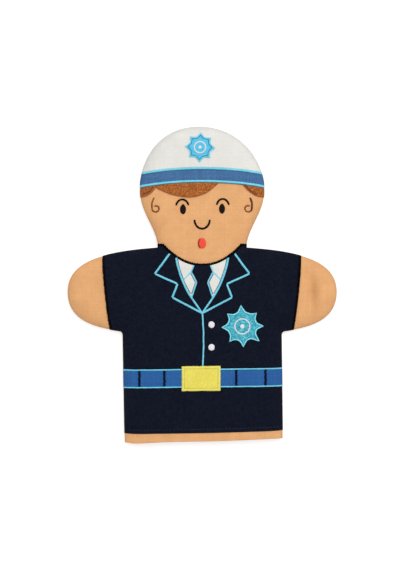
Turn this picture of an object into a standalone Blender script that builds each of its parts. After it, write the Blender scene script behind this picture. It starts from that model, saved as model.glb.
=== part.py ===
# A police hand puppet: two cloth panels sewn together, turned and laid on their back.
# Lengths are in metres. X runs across the puppet, Y from the hem to the crown, Z out of the face.

import bpy
import bmesh
from math import cos, hypot, pi, radians, sin

# Outline of the sewn panels
bodyHeight = 0.173
headHeight = 0.107
headWidth = 0.1092
cheekHeight = 0.049
neckWidth = 0.0776
armReach = 0.1187
armTipDrop = 0.0388
armpitDrop = 0.0732
armpitRadius = 0.0034
bodyWidth = 0.1398
hemWidth = 0.1392
hemShift = 0.0014
hemRise = 0.0046
crownLean = -0.0028

# Handles of the outline's curves, as shares of the width or height that each curve crosses
crownHandle = 0.66
templeHandle = 0.473
cheekHandle = 0.367
neckHandle = 0.36
shoulderHandle = 0.696
armEndHandle = 0.626
underarmHandle = 0.46
armTurnHandle = 0.744
neckSlope = 0.02
shoulderSlope = 0.025
underarmSlope = 0.09

# Cloth, seam and hem
cloth = 0.0008
gap = 0.0003
frontHeight = 0.0120
puffWidth = 0.020
seamHeight = 0.0036
foldRadius = 0.00065
seamAllowance = 0.0062
backRoll = 0.008
hemFold = 0.012
hemFoldInset = 0.0012

# Applied cloth and stitching, counted up from the front panel
patch = 0.0006
stitch = 0.0005

# Cap
capHeight = 0.0367
bandHeight = 0.0112
bandBow = 0.005
bandEdging = 0.0020
capBadgeReach = 0.0132
capBadgeWaist = 0.0098
capBadgeShift = -0.0019
capBadgeLift = 0.0178
capRingRadius = 0.0056
capDotRadius = 0.0014
ringWidth = 0.0013

# Hair and face, each height measured down from the crown
sideHairDrop = 0.0622
sideHairLeft = 0.0143
sideHairRight = 0.0196
fringeEnd = 0.0155
fringeDrop = 0.0624
lineWidth = 0.0012
eyeDrop = 0.0728
eyeSpacing = 0.0344
eyeWidth = 0.0053
eyeHeight = 0.0086
browLift = 0.0038
browWidth = 0.0110
browRise = 0.0055
noseDrop = 0.0823
noseWidth = 0.0134
noseDepth = 0.0079
mouthDrop = 0.1031
mouthWidth = 0.0067
mouthHeight = 0.0093
curlInset = 0.0132
curlDrop = 0.0725
curlRadius = 0.0034
curlStem = 0.0050

# Jacket, collar, shirt and tie, heights measured down from the shoulder
necklineDrop = 0.0141
collarRise = 0.0029
collarReach = 0.0338
bindingWidth = 0.0020
bareArmTop = 0.0309
bareArmBottom = 0.0391
cuffBow = 0.0015
cuffBinding = 0.0015
jacketHem = 0.0108
jacketTilt = 0.0218
lapelStart = (0.0290, 0.0010)
lapelTip = (0.0410, 0.0228)
lapelNotch = (0.0216, 0.0318)
lapelPoint = (0.0262, 0.0436)
lapelMeet = 0.0574
lapelEdging = 0.0019
rollStart = (0.0238, 0.0040)
rollBend = (0.0206, 0.0190)
rollLow = (0.0136, 0.0367)
tieStart = (0.0058, 0.0120)
tieKnot = (0.0096, 0.0213)
tieNeck = (0.0050, 0.0300)
tieFoot = (0.0102, 0.0425)
collarPoint = (0.0178, 0.0295)
edgingWidth = 0.0014

# Buttons, as shares of the way from the lapels to the belt, and chest badge
placketShift = 0.0006
placketWidth = 0.0015
buttonShift = 0.0082
buttonDiameter = 0.0055
upperButton = 0.206
lowerButton = 0.614
badgeShift = 0.0352
badgeDrop = 0.0690
badgeReach = 0.0194
badgeWaist = 0.0127
badgeEdging = 0.0015
badgeRingRadius = 0.0072
badgeDotRadius = 0.0019

# Belt, measured up from the hem
beltHeight = 0.0582
beltWidth = 0.0158
beltTilt = 0.0114
beltEdging = 0.0013
loopPlaces = (-0.0559, -0.0336, 0.0299, 0.0558)
loopWidth = 0.0012
loopSwing = 0.0007
loopTurns = 6
buckleShift = -0.0009
buckleWidth = 0.0342
buckleHeight = 0.0220
buckleBorder = 0.0026

# Values that follow from those above
puppetHeight = bodyHeight + headHeight
panelTop = puppetHeight - gap - patch
headSide = headWidth / 2
neckSide = neckWidth / 2
bodySide = bodyWidth / 2
cuffTop = armReach - bareArmTop
cuffBottom = armReach - bareArmBottom
frontLength = bodyHeight - beltHeight - beltWidth / 2 - lapelMeet
beyond = 0.012

tan = (0.78, 0.41, 0.182)
white = (0.78, 0.77, 0.73)
capBlue = (0.073, 0.168, 0.357)
beltBlue = (0.027, 0.11, 0.31)
navy = (0.007, 0.009, 0.019)
black = (0.004, 0.004, 0.005)
brown = (0.394, 0.124, 0.032)
turquoise = (0.14, 0.68, 0.80)
badgeBlue = (0.157, 0.495, 0.616)
yellow = (0.79, 0.69, 0.116)
red = (0.68, 0.040, 0.020)

for old in list(bpy.data.objects):
    bpy.data.objects.remove(old, do_unlink=True)

puppet = bpy.data.objects.new("puppet", None)
puppet.location = (0, -puppetHeight / 2, 0)
bpy.context.collection.objects.link(puppet)


def bezier(start, startPull, endPull, end, steps):
    points = []
    for step in range(steps + 1):
        t = step / steps
        weights = ((1 - t) ** 3, 3 * t * (1 - t) ** 2, 3 * t * t * (1 - t), t ** 3)
        corners = (start, (start[0] + startPull[0], start[1] + startPull[1]),
                   (end[0] + endPull[0], end[1] + endPull[1]), end)
        points.append(tuple(sum(w * c[axis] for w, c in zip(weights, corners)) for axis in (0, 1)))
    return points


def smoothThrough(knots, steps):
    # Catmull-Rom curve through the knots
    ends = [(2 * knots[0][k] - knots[1][k]) for k in (0, 1)], [(2 * knots[-1][k] - knots[-2][k]) for k in (0, 1)]
    line = [ends[0]] + list(knots) + [ends[1]]
    points = [knots[0]]
    for a, b, c, d in zip(line, line[1:], line[2:], line[3:]):
        for step in range(1, steps + 1):
            t = step / steps
            points.append(tuple(
                b[k] + 0.5 * t * (c[k] - a[k] + t * (2 * a[k] - 5 * b[k] + 4 * c[k] - d[k]
                                  + t * (3 * (b[k] - c[k]) + d[k] - a[k]))) for k in (0, 1)))
    return points


def arc(centre, across, along, start, end, steps):
    angles = [radians(start + (end - start) * step / steps) for step in range(steps + 1)]
    return [(centre[0] + across * cos(angle), centre[1] + along * sin(angle)) for angle in angles]


def rightHandNormals(path):
    # Mitred normals on the right of the path, so that path + w * normal runs parallel to it
    edges = []
    for a, b in zip(path, path[1:]):
        length = hypot(b[0] - a[0], b[1] - a[1])
        edges.append(((b[1] - a[1]) / length, (a[0] - b[0]) / length))
    normals = [edges[0]]
    for first, second in zip(edges, edges[1:]):
        share = 1 + first[0] * second[0] + first[1] * second[1]
        normals.append(((first[0] + second[0]) / share, (first[1] + second[1]) / share))
    return normals + [edges[-1]]


def shifted(path, normals, distance):
    return [(p[0] + distance * n[0], p[1] + distance * n[1]) for p, n in zip(path, normals)]


def seamLine():
    # From the hem's left corner, up round the arm and head, and down to the hem's right corner
    sides = []
    for side, corner in ((-1, 0), (1, hemRise)):
        crown = (crownLean, panelTop)
        cheek = (side * headSide, bodyHeight + cheekHeight)
        neck = (side * neckSide, bodyHeight)
        tip = (side * armReach, bodyHeight - armTipDrop)
        armpit = (side * (bodySide + armpitRadius), bodyHeight - armpitDrop)
        armSpan, sleeveSpan = armReach - neckSide, tip[0] - armpit[0]
        drop = tip[1] - armpit[1]
        points = bezier(crown, (side * crownHandle * headSide, 0),
                        (0, templeHandle * (panelTop - cheek[1])), cheek, 9)
        points += bezier(cheek, (0, -cheekHandle * cheekHeight),
                         (side * neckSlope * cheekHeight, neckHandle * cheekHeight), neck, 6)[1:]
        points += bezier(neck, (side * shoulderHandle * armSpan, -shoulderSlope * armSpan),
                         (0, armEndHandle * armTipDrop), tip, 9)[1:]
        points += bezier(tip, (0, -armTurnHandle * drop),
                         (underarmHandle * sleeveSpan, underarmSlope * drop), armpit, 7)[1:]
        points += arc((armpit[0], armpit[1] - armpitRadius), -side * armpitRadius, armpitRadius,
                      90, 0, 3)[1:]
        points.append((hemShift + side * hemWidth / 2, corner))
        sides.append(points)
    return sides[0][::-1] + sides[1][1:]


def seamNormals(line):
    # The first and last normals run along the hem, so every ring ends on it
    normals = rightHandNormals(line)
    along = (line[-1][0] - line[0][0], line[-1][1] - line[0][1])
    for end, sign in ((0, 1), (-1, -1)):
        share = sign * (along[0] * normals[end][0] + along[1] * normals[end][1])
        normals[end] = (sign * along[0] / share, sign * along[1] / share)
    return normals


def frontSection():
    # Middle of the cloth, from the flat front out to the seam, round the fold and in along the allowance
    centre = seamHeight + gap / 2 + cloth / 2 + foldRadius
    climb = frontHeight - cloth / 2 - centre
    path = [(cloth / 2 + puffWidth * share, centre + climb * (1 - (1 - share) ** 2.5) ** 0.7)
            for share in (1, 0.68, 0.40, 0.2, 0.08)]
    path += arc((cloth / 2 + foldRadius, centre), foldRadius, foldRadius, 130, 270, 3)
    path.append((cloth / 2 + seamAllowance, centre - foldRadius))
    return path


def backSection():
    # The same for the back, which lies flat and rolls up to the seam
    centre = seamHeight - gap / 2 - cloth / 2 - foldRadius
    path = [(cloth / 2 + backRoll * share, centre - (centre - cloth / 2) * (1 - (1 - share) ** 3) ** 0.6)
            for share in (1, 0.6, 0.25)]
    path += arc((cloth / 2 + foldRadius, centre), foldRadius, foldRadius, -130, -270, 3)
    path.append((cloth / 2 + seamAllowance, centre + foldRadius))
    return path


def clothNormals(path):
    # Normals towards the cloth's outer face, upright where the panel is flat
    flip = 1 if path[0][1] > seamHeight else -1
    normals = [(flip * n[0], flip * n[1]) for n in rightHandNormals(path)]
    normals[0] = (0, flip)
    return normals


def material(name, colour, roughness=0.9):
    finish = bpy.data.materials.new(name)
    finish.use_nodes = True
    finish.diffuse_color = (*colour, 1)
    surface = finish.node_tree.nodes["Principled BSDF"]
    surface.inputs["Base Color"].default_value = (*colour, 1)
    surface.inputs["Roughness"].default_value = roughness
    surface.inputs["Metallic"].default_value = 0.0
    return finish


def meshObject(name, bm):
    # The flat middle stays one face; every other face is split the same way on every layer
    bmesh.ops.recalc_face_normals(bm, faces=bm.faces)
    bmesh.ops.triangulate(bm, faces=[face for face in bm.faces if len(face.verts) == 4], quad_method='FIXED')
    mesh = bpy.data.meshes.new(name)
    bm.to_mesh(mesh)
    bm.free()
    mesh.shade_smooth()
    mesh.set_sharp_from_angle(angle=radians(40))
    made = bpy.data.objects.new(name, mesh)
    bpy.context.collection.objects.link(made)
    made.parent = puppet
    return made


def sweptCloth(name, outer, inner):
    # The section runs out along its outer face and back along its inner one, at every point of the seam
    bm = bmesh.new()
    section = outer + inner[::-1]
    rows = [[bm.verts.new((p[0] + d * n[0], p[1] + d * n[1], z)) for d, z in section]
            for p, n in zip(seam, inward)]
    for row, following in zip(rows, rows[1:]):
        for k in range(len(section) - 1):
            bm.faces.new((row[k], row[k + 1], following[k + 1], following[k]))
    bm.faces.new([row[0] for row in rows])
    bm.faces.new([row[-1] for row in rows])
    bm.faces.new(rows[0] + rows[-1][::-1])
    return meshObject(name, bm)


def hemTurning(name, path, normals):
    # The turned-up hem: a wall at the open end, and a strip that runs back inside against the panel
    reach = -(1.5 * cloth + gap)
    corners = ((gap, 0), (gap, reach), (hemFold, reach), (hemFold, reach + cloth),
               (gap + cloth, reach + cloth), (gap + cloth, 0))
    kept = [k for k, (d, z) in enumerate(path) if k == 0 or d > seamAllowance + hemFoldInset]
    bm = bmesh.new()
    rows = []
    for end, after, order in ((0, 1, kept[::-1]), (-1, -2, kept)):
        run = (seam[after][0] - seam[end][0], seam[after][1] - seam[end][1])
        length = hypot(*run)
        for k in order:
            row = []
            for up, off in corners:
                d = path[k][0] + off * normals[k][0]
                row.append(bm.verts.new((seam[end][0] + d * inward[end][0] + up * run[0] / length,
                                         seam[end][1] + d * inward[end][1] + up * run[1] / length,
                                         path[k][1] + off * normals[k][1])))
            rows.append(row)
    for row, following in zip(rows, rows[1:]):
        for k in range(len(corners)):
            after = (k + 1) % len(corners)
            bm.faces.new((row[k], row[after], following[after], following[k]))
    bm.faces.new(rows[0])
    bm.faces.new(rows[-1])
    return meshObject(name, bm)


def asGuide(made):
    made.hide_render = True
    made.display_type = 'WIRE'
    return made


def boolean(made, other, operation):
    step = made.modifiers.new(other.name, 'BOOLEAN')
    step.operation = operation
    step.solver = 'EXACT'
    step.object = other


def prism(name, outline):
    bm = bmesh.new()
    base = bm.faces.new([bm.verts.new((x, y, -gap)) for x, y in outline])
    raised = bmesh.ops.extrude_face_region(bm, geom=[base])["geom"]
    top = [item for item in raised if isinstance(item, bmesh.types.BMVert)]
    bmesh.ops.translate(bm, verts=top, vec=(0, 0, 2 * frontHeight))
    return asGuide(meshObject(name, bm))


def applied(name, layer, outline, colour, roughness=0.9, around=()):
    # One patch or line of stitching: the layer's sheet inside the outline, clear of what it goes round
    made = bpy.data.objects.new(name, sheets[layer].data.copy())
    bpy.context.collection.objects.link(made)
    made.parent = puppet
    made.data.materials.append(material(name, colour, roughness))
    boolean(made, prism(name + "_outline", outline), 'INTERSECT')
    for number, other in enumerate(around):
        boolean(made, prism(f"{name}_clearance_{number}", other), 'DIFFERENCE')
    return made


def ribbon(path, width, roundEnds=False):
    normals = rightHandNormals(path)
    right = shifted(path, normals, width / 2)
    left = shifted(path, normals, -width / 2)
    if roundEnds:
        for side, near, far in ((right, path[-1], normals[-1]), (left, path[0], normals[0])):
            sign = 1 if side is right else -1
            for turn in (45, 90, 135):
                c, s = width / 2 * cos(radians(turn)), width / 2 * sin(radians(turn))
                bulge = (near[0] + sign * (c * far[0] - s * far[1]), near[1] + sign * (c * far[1] + s * far[0]))
                side.append(bulge) if sign == 1 else side.insert(0, bulge)
    return right + left[::-1]


def disc(centre, width, height, steps=20):
    return arc(centre, width / 2, height / 2, 0, 360 - 360 / steps, steps - 1)


def star(centre, reach, waist, turn=0.0, grow=0.0):
    # Eight points joined by hollow sides
    outline = []
    for step in range(48):
        hollow = abs(step % 6 / 3 - 1) ** 1.6
        radius = waist + (reach - waist) * hollow + grow * (1 + hollow)
        angle = radians(90 + turn - 7.5 * step)
        outline.append((centre[0] + radius * cos(angle), centre[1] + radius * sin(angle)))
    return outline


def ringRound(name, layer, centre, radius, width, colour):
    return applied(name, layer, disc(centre, 2 * radius, 2 * radius, 24), colour, 0.6,
                   around=[disc(centre, 2 * (radius - width), 2 * (radius - width), 24)])


# The two panels, with the seam allowance and the hem turned inside
seam = seamLine()
inward = seamNormals(seam)
for name, path in (("front_panel", frontSection()), ("back_panel", backSection())):
    normals = clothNormals(path)
    panel = sweptCloth(name, shifted(path, normals, cloth / 2), shifted(path, normals, -cloth / 2))
    boolean(panel, asGuide(hemTurning(name + "_hem", path, normals)), 'UNION')
    panel.data.materials.append(material(name, tan))

# Sheets that follow the front's outer face out to the seam, one above the other
path = frontSection()
normals = clothNormals(path)
toSeam = next(k for k, (d, z) in enumerate(path) if d <= cloth / 2 + foldRadius * 0.2) + 1
sheets = {}
height = cloth / 2
for layer, thickness in (("first", patch), ("second", stitch), ("third", stitch)):
    height += gap
    low = shifted(path, normals, height)[:toSeam]
    height += thickness
    high = shifted(path, normals, height)[:toSeam]
    sheets[layer] = asGuide(sweptCloth(layer + "_layer", high, low))


# Cap
def bandTop(x):
    return puppetHeight - capHeight - bandBow * (x / headSide) ** 2


def bandLine(start, end, below, steps=12):
    places = [start + (end - start) * step / steps for step in range(steps + 1)]
    return [(x, bandTop(x) - below) for x in places]


wide = headSide + beyond
applied("cap_crown", "first", bandLine(-wide, wide, -gap / 2)
        + [(wide, puppetHeight + beyond), (-wide, puppetHeight + beyond)], white)
applied("cap_band", "first", bandLine(-wide, wide, gap / 2)
        + bandLine(wide, -wide, bandHeight - gap / 2), capBlue)
applied("cap_band_upper_edging", "second", ribbon(bandLine(-wide, wide, 0), bandEdging), turquoise, 0.5)
applied("cap_band_lower_edging", "second", ribbon(bandLine(-wide, wide, bandHeight), bandEdging), turquoise, 0.5)

capBadge = (capBadgeShift, puppetHeight - capHeight + capBadgeLift)
applied("cap_badge", "second", star(capBadge, capBadgeReach, capBadgeWaist, -3), badgeBlue, 0.6)
ringRound("cap_badge_ring", "third", capBadge, capRingRadius, ringWidth, white)
applied("cap_badge_dot", "third", disc(capBadge, 2 * capDotRadius, 2 * capDotRadius, 12), white, 0.6)


# Hair under the band
def sideHair(side, innerReach):
    inner = headSide - innerReach
    bottom = puppetHeight - sideHairDrop
    top = bandTop(inner) - bandHeight - gap
    lower = []
    for step in range(7):
        share = step / 6
        lower.append((side * (inner + innerReach * share), bottom + (top - bottom) * (1 - share) ** 2.3))
    outside = [(side * wide, bottom)]
    under = bandLine(side * wide, side * inner, bandHeight + gap / 2, 4)
    return lower + outside + under


applied("hair_side_left", "first", sideHair(-1, sideHairLeft), brown)
applied("hair_side_right", "first", sideHair(1, sideHairRight), brown)
fringeStart = sideHairLeft - headSide + gap
fringeLow = puppetHeight - fringeDrop
fringeSpan = fringeEnd - fringeStart
fringeEdge = smoothThrough([(fringeStart, fringeLow + 0.0078), (fringeStart + 0.24 * fringeSpan, fringeLow + 0.0023),
                            (fringeStart + 0.53 * fringeSpan, fringeLow),
                            (fringeStart + 0.78 * fringeSpan, fringeLow + 0.0038),
                            (fringeEnd, bandTop(fringeEnd) - bandHeight - gap)], 4)
applied("hair_fringe", "first", fringeEdge
        + bandLine(fringeEnd - gap, fringeStart, bandHeight + gap / 2, 6), brown)

# Face
for side, word in ((-1, "left"), (1, "right")):
    eye = (side * eyeSpacing / 2, puppetHeight - eyeDrop)
    applied("eye_" + word, "first", disc(eye, eyeWidth, eyeHeight), black, 0.5)
    applied("brow_" + word, "first", ribbon(
        arc((eye[0], eye[1] + browLift), browWidth / 2, browRise, 0, 180, 12), lineWidth, True), black, 0.6)
    curl = (side * (headSide - curlInset), puppetHeight - curlDrop)
    around = [(curl[0] - side * r * cos(angle), curl[1] - r * sin(angle)) for angle, r in
              ((radians(10 + 24 * k), curlRadius * (1 - 0.028 * k)) for k in range(13))]
    stem = [(curl[0] + side * 0.55 * curlRadius, curl[1] + curlRadius + curlStem),
            (curl[0] + side * 0.85 * curlRadius, curl[1] + 0.5 * curlRadius + 0.5 * curlStem)]
    turned = [(2 * curl[0] - x, y) for x, y in around]
    applied("ear_curl_" + word, "first", ribbon(stem + turned, lineWidth, True), brown, 0.7)
applied("nose", "first", ribbon(arc((0, puppetHeight - noseDrop), noseWidth / 2, noseDepth, 180, 360, 14),
                                lineWidth, True), black, 0.6)
applied("mouth", "first", disc((0, puppetHeight - mouthDrop), mouthWidth, mouthHeight), red, 0.5)


# Jacket, with its bound neckline and cuffs
def neckline():
    outside = neckSide + beyond
    places = [collarReach * step / 8 for step in range(-8, 9)]
    low = bodyHeight - necklineDrop
    curve = [(x, low + (necklineDrop + collarRise) * abs(x / collarReach) ** 2.1) for x in places]
    return [(-outside, curve[0][1])] + curve + [(outside, curve[-1][1])]


def cuff(side):
    top, bottom = bodyHeight + beyond / 2, bodyHeight - armpitDrop - beyond / 2
    middle = (cuffTop + cuffBottom) / 2 + cuffBow
    return [(side * x, y) for x, y in smoothThrough(
        [(cuffTop, top), (middle, (top + bottom) / 2), (cuffBottom, bottom)], 4)]


def jacketEdge(x):
    return jacketHem + jacketTilt * x


outside = bodySide + beyond / 2
jacketOutline = (cuff(-1) + [(-outside, jacketEdge(-outside)), (outside, jacketEdge(outside))] + cuff(1)[::-1]
                 + [(neckSide + beyond, bodyHeight + beyond / 2)] + neckline()[::-1]
                 + [(-neckSide - beyond, bodyHeight + beyond / 2)])
applied("jacket", "first", jacketOutline, navy)
applied("collar_binding", "second", ribbon(neckline(), bindingWidth), black, 0.5)
for side, word in ((-1, "left"), (1, "right")):
    applied("cuff_binding_" + word, "second", ribbon(cuff(side), cuffBinding), black, 0.5)

# Collar, shirt and tie, edged with stitched lines
aboveNeckline = shifted(neckline(), rightHandNormals(neckline()), bindingWidth / 2 + gap)
aboveNeckline += [(neckSide + beyond, bodyHeight + 2 * beyond), (-neckSide - beyond, bodyHeight + 2 * beyond)]
leftHalf = [(-armReach, 0), (gap / 2, 0), (gap / 2, puppetHeight), (-armReach, puppetHeight)]
rightHalf = [(armReach, 0), (-gap / 2, 0), (-gap / 2, puppetHeight), (armReach, puppetHeight)]
edgings = {}
for side, word, otherHalf in ((-1, "left", rightHalf), (1, "right", leftHalf)):
    def place(point):
        return (side * point[0], bodyHeight - point[1])

    meet = (0, bodyHeight - lapelMeet)
    lapel = [place(p) for p in (lapelStart, lapelTip, lapelNotch, lapelPoint)] + [meet]
    roll = smoothThrough([place(rollStart), place(rollBend), place(rollLow), meet], 4)
    tie = [place(p) for p in (tieStart, tieKnot, tieNeck, tieFoot)]
    collar = [place(tieKnot), place(collarPoint)]
    clear = 2 * gap
    lapelClear = ribbon(lapel, lapelEdging + clear)
    rollClear = ribbon(roll, lapelEdging + clear)
    tieClear = ribbon(tie, edgingWidth + clear)
    collarClear = ribbon(collar, edgingWidth + clear)
    edgings[word] = (roll, tie, rollClear, tieClear)
    applied("lapel_edging_" + word, "second", ribbon(lapel, lapelEdging), turquoise, 0.5,
            around=[aboveNeckline, otherHalf])
    applied("lapel_fold_" + word, "second", ribbon(roll, lapelEdging), turquoise, 0.5,
            around=[aboveNeckline, otherHalf, lapelClear])
    applied("tie_edging_" + word, "second", ribbon(tie, edgingWidth), turquoise, 0.5,
            around=[aboveNeckline, rollClear])
    applied("collar_edging_" + word, "second", ribbon(collar, edgingWidth), turquoise, 0.5,
            around=[tieClear, rollClear])
    upper = [p for p in roll if p[1] > collar[1][1]] + [collar[1], collar[0], tie[0]]
    applied("shirt_collar_" + word, "second", upper, white, 0.85,
            around=[aboveNeckline, rollClear, tieClear, collarClear])
    lower = (collar + [p for p in roll if collar[1][1] > p[1] > tie[-1][1]] + [tie[-1], tie[2]])
    applied("shirt_front_" + word, "second", lower, white, 0.85,
            around=[rollClear, tieClear, collarClear])
tieSides = {word: edgings[word][1] + [p for p in edgings[word][0] if p[1] < bodyHeight - tieFoot[1] - gap]
            for word in edgings}
tieOutline = tieSides["left"] + tieSides["right"][-2::-1]
applied("tie", "second", tieOutline, navy, 0.8,
        around=[aboveNeckline] + [shape for word in edgings for shape in edgings[word][2:]])

# Placket, buttons and chest badge
beltSlope = beltTilt * placketShift
placket = [(placketShift, bodyHeight - lapelMeet - 1.3 * lapelEdging - gap),
           (placketShift, beltHeight + beltWidth / 2 + beltSlope + gap)]
applied("placket_edging", "second", ribbon(placket, placketWidth), turquoise, 0.5)
for word, share in (("upper", upperButton), ("lower", lowerButton)):
    button = (buttonShift, bodyHeight - lapelMeet - share * frontLength)
    applied("button_" + word, "second", disc(button, buttonDiameter, buttonDiameter, 16), white, 0.5)
badge = (badgeShift, bodyHeight - badgeDrop)
applied("chest_badge", "second", star(badge, badgeReach, badgeWaist, 5), badgeBlue, 0.6)
applied("chest_badge_edging", "third", star(badge, badgeReach, badgeWaist, 5), turquoise, 0.5,
        around=[star(badge, badgeReach, badgeWaist, 5, -badgeEdging)])
ringRound("chest_badge_ring", "third", badge, badgeRingRadius, ringWidth, white)
applied("chest_badge_dot", "third", disc(badge, 2 * badgeDotRadius, 2 * badgeDotRadius, 12), white, 0.6)


# Belt with its edgings, loops and buckle
def beltLine(start, end, above):
    return [(x, beltHeight + beltTilt * x + above) for x in (start, end)]


half = beltWidth / 2
applied("belt", "second", beltLine(-outside, outside, -half) + beltLine(outside, -outside, half), beltBlue)
buckleX = (buckleShift - buckleWidth / 2, buckleShift + buckleWidth / 2)
buckle = beltLine(*buckleX, -buckleHeight / 2) + beltLine(*buckleX[::-1], buckleHeight / 2)
plateX = (buckleX[0] + buckleBorder, buckleX[1] - buckleBorder)
plate = (beltLine(*plateX, buckleBorder - buckleHeight / 2)
         + beltLine(*plateX[::-1], buckleHeight / 2 - buckleBorder))
insideX = (plateX[0] + gap, plateX[1] - gap)
inside = (beltLine(*insideX, buckleBorder + gap - buckleHeight / 2)
          + beltLine(*insideX[::-1], buckleHeight / 2 - buckleBorder - gap))
aroundX = (buckleX[0] - gap, buckleX[1] + gap)
aroundBuckle = (beltLine(*aroundX, -buckleHeight / 2 - gap) + beltLine(*aroundX[::-1], buckleHeight / 2 + gap))
applied("buckle_edging", "third", buckle, yellow, 0.5, around=[plate])
applied("buckle", "third", inside, yellow, 0.7)
for place, word in ((half - beltEdging / 2, "upper"), (beltEdging / 2 - half, "lower")):
    for part, start, end in (("left", -outside, buckleX[0] - gap), ("right", buckleX[1] + gap, outside)):
        applied(f"belt_edging_{word}_{part}", "third", ribbon(beltLine(start, end, place), beltEdging),
                turquoise, 0.5)
loopReach = half - beltEdging - gap - loopWidth / 2
for number, x in enumerate(loopPlaces, 1):
    zigzag = [(x + loopSwing * (-1) ** step,
               beltHeight + beltTilt * x + loopReach * (2 * step / loopTurns - 1)) for step in range(loopTurns + 1)]
    applied(f"belt_loop_{number}", "third", ribbon(zigzag, loopWidth), black, 0.6)
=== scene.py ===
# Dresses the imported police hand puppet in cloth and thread.
# Metres. The puppet lies on its back: X across, Y from the hem to the crown, Z out of the face.
import bpy
import bmesh
import random
from math import atan2, cos, exp, hypot, pi, radians, sin, sqrt
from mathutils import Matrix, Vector, kdtree, noise


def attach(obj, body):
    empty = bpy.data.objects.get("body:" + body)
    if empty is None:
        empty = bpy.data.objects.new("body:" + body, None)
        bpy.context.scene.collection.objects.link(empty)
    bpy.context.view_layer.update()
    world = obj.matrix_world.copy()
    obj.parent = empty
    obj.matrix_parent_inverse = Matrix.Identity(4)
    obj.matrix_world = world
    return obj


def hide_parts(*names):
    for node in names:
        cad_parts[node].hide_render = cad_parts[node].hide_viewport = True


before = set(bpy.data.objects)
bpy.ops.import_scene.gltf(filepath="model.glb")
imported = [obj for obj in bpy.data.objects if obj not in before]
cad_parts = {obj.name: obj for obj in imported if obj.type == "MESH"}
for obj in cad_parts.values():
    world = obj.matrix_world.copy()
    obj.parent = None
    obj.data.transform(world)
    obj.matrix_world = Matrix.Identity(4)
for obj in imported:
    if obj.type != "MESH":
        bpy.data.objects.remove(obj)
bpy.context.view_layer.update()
print("frame loaded")

# Sewn outline; heights are measured up from the hem, as on the pattern
panel = {
    "bodyHeight": 0.173, "headHeight": 0.107, "headWidth": 0.1092, "cheekHeight": 0.049, "neckWidth": 0.0776,
    "armReach": 0.1187, "armTipDrop": 0.0388, "armpitDrop": 0.0732, "armpitRadius": 0.0034, "bodyWidth": 0.1398,
    "hemWidth": 0.1392, "hemShift": 0.0014, "hemRise": 0.0046, "crownLean": -0.0028, "crownInset": 0.0009,
    "shoulderFall": (0.045, 0.042), "seamStep": 0.00025, "cutSize": (0.252, 0.302), "cloth": 0.0008,
    "seamCentre": 0.0048, "frontHeight": 0.0120, "puffWidth": 0.0204, "puffShape": (2.5, 0.7), "backCentre": 0.0024,
    "backRoll": 0.0084, "backShape": (3, 0.6), "backBumps": 0.00022, "foldRadius": 0.00105, "seamAllowance": 0.0066,
    "hemRadius": 0.00095, "hemFold": 0.012, "foldRow": 0.006, "hemStep": 0.0016, "edgeStep": 0.0011,
    "lattice": 0.0018,
}
# How far each curve of the seam is pulled at its ends, as shares of its span
pulls = {"crown": 0.66, "temple": 0.473, "jaw": 0.367, "neck": (0.02, 0.36), "shoulder": 0.696, "tipTop": 0.626,
         "tipLow": 0.744, "sleeve": (0.46, 0.09)}
# The hem lifts and waves, and curls up at its left corner; this fades above the flat part
wave = {"lift": 0.0007, "height": 0.0003, "length": 0.09, "shift": 0.028, "curl": 0.0012, "curlPlace": -0.068,
        "curlWidth": 0.006, "flat": 0.003, "fade": 0.0045}
# How far out a layer turns round the seam: a share of its height, the most, and where the thicker cap begins
wrap = {"share": 0.4, "most": 0.0005, "capFrom": 0.052, "capFade": 0.006}
layers = {"first": 0.0009, "second": 0.0017, "third": 0.0025}  # tops of the layers above the front cloth

puppetHeight = panel["bodyHeight"] + panel["headHeight"]
bodyHeight = panel["bodyHeight"]
headSide, neckSide, bodySide = panel["headWidth"] / 2, panel["neckWidth"] / 2, panel["bodyWidth"] / 2


def bezier(start, startPull, endPull, end, steps):
    corners = (start, (start[0] + startPull[0], start[1] + startPull[1]),
               (end[0] + endPull[0], end[1] + endPull[1]), end)
    points = []
    for step in range(steps + 1):
        t = step / steps
        weights = ((1 - t) ** 3, 3 * t * (1 - t) ** 2, 3 * t * t * (1 - t), t ** 3)
        points.append(tuple(sum(w * c[k] for w, c in zip(weights, corners)) for k in (0, 1)))
    return points


def smoothThrough(knots, steps=12):
    # A smooth line through every knot
    ends = [tuple(2 * knots[a][k] - knots[b][k] for k in (0, 1)) for a, b in ((0, 1), (-1, -2))]
    line = [ends[0]] + list(knots) + [ends[1]]
    points = [tuple(knots[0])]
    for a, b, c, d in zip(line, line[1:], line[2:], line[3:]):
        for step in range(1, steps + 1):
            t = step / steps
            points.append(tuple(
                b[k] + 0.5 * t * (c[k] - a[k] + t * (2 * a[k] - 5 * b[k] + 4 * c[k] - d[k]
                                  + t * (3 * (b[k] - c[k]) + d[k] - a[k]))) for k in (0, 1)))
    return points


def arc(centre, across, along, start, end, steps):
    angles = [radians(start + (end - start) * step / steps) for step in range(steps + 1)]
    return [(centre[0] + across * cos(angle), centre[1] + along * sin(angle)) for angle in angles]


def evenly(path, step):
    # The same line with its points at equal steps
    lengths = [0.0]
    for a, b in zip(path, path[1:]):
        lengths.append(lengths[-1] + hypot(b[0] - a[0], b[1] - a[1]))
    count = max(2, round(lengths[-1] / step))
    points, k = [], 0
    for i in range(count + 1):
        reach = lengths[-1] * i / count
        while k < len(lengths) - 2 and lengths[k + 1] < reach:
            k += 1
        share = (reach - lengths[k]) / max(lengths[k + 1] - lengths[k], 1e-9)
        points.append(tuple(path[k][j] + share * (path[k + 1][j] - path[k][j]) for j in (0, 1)))
    return points


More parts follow.
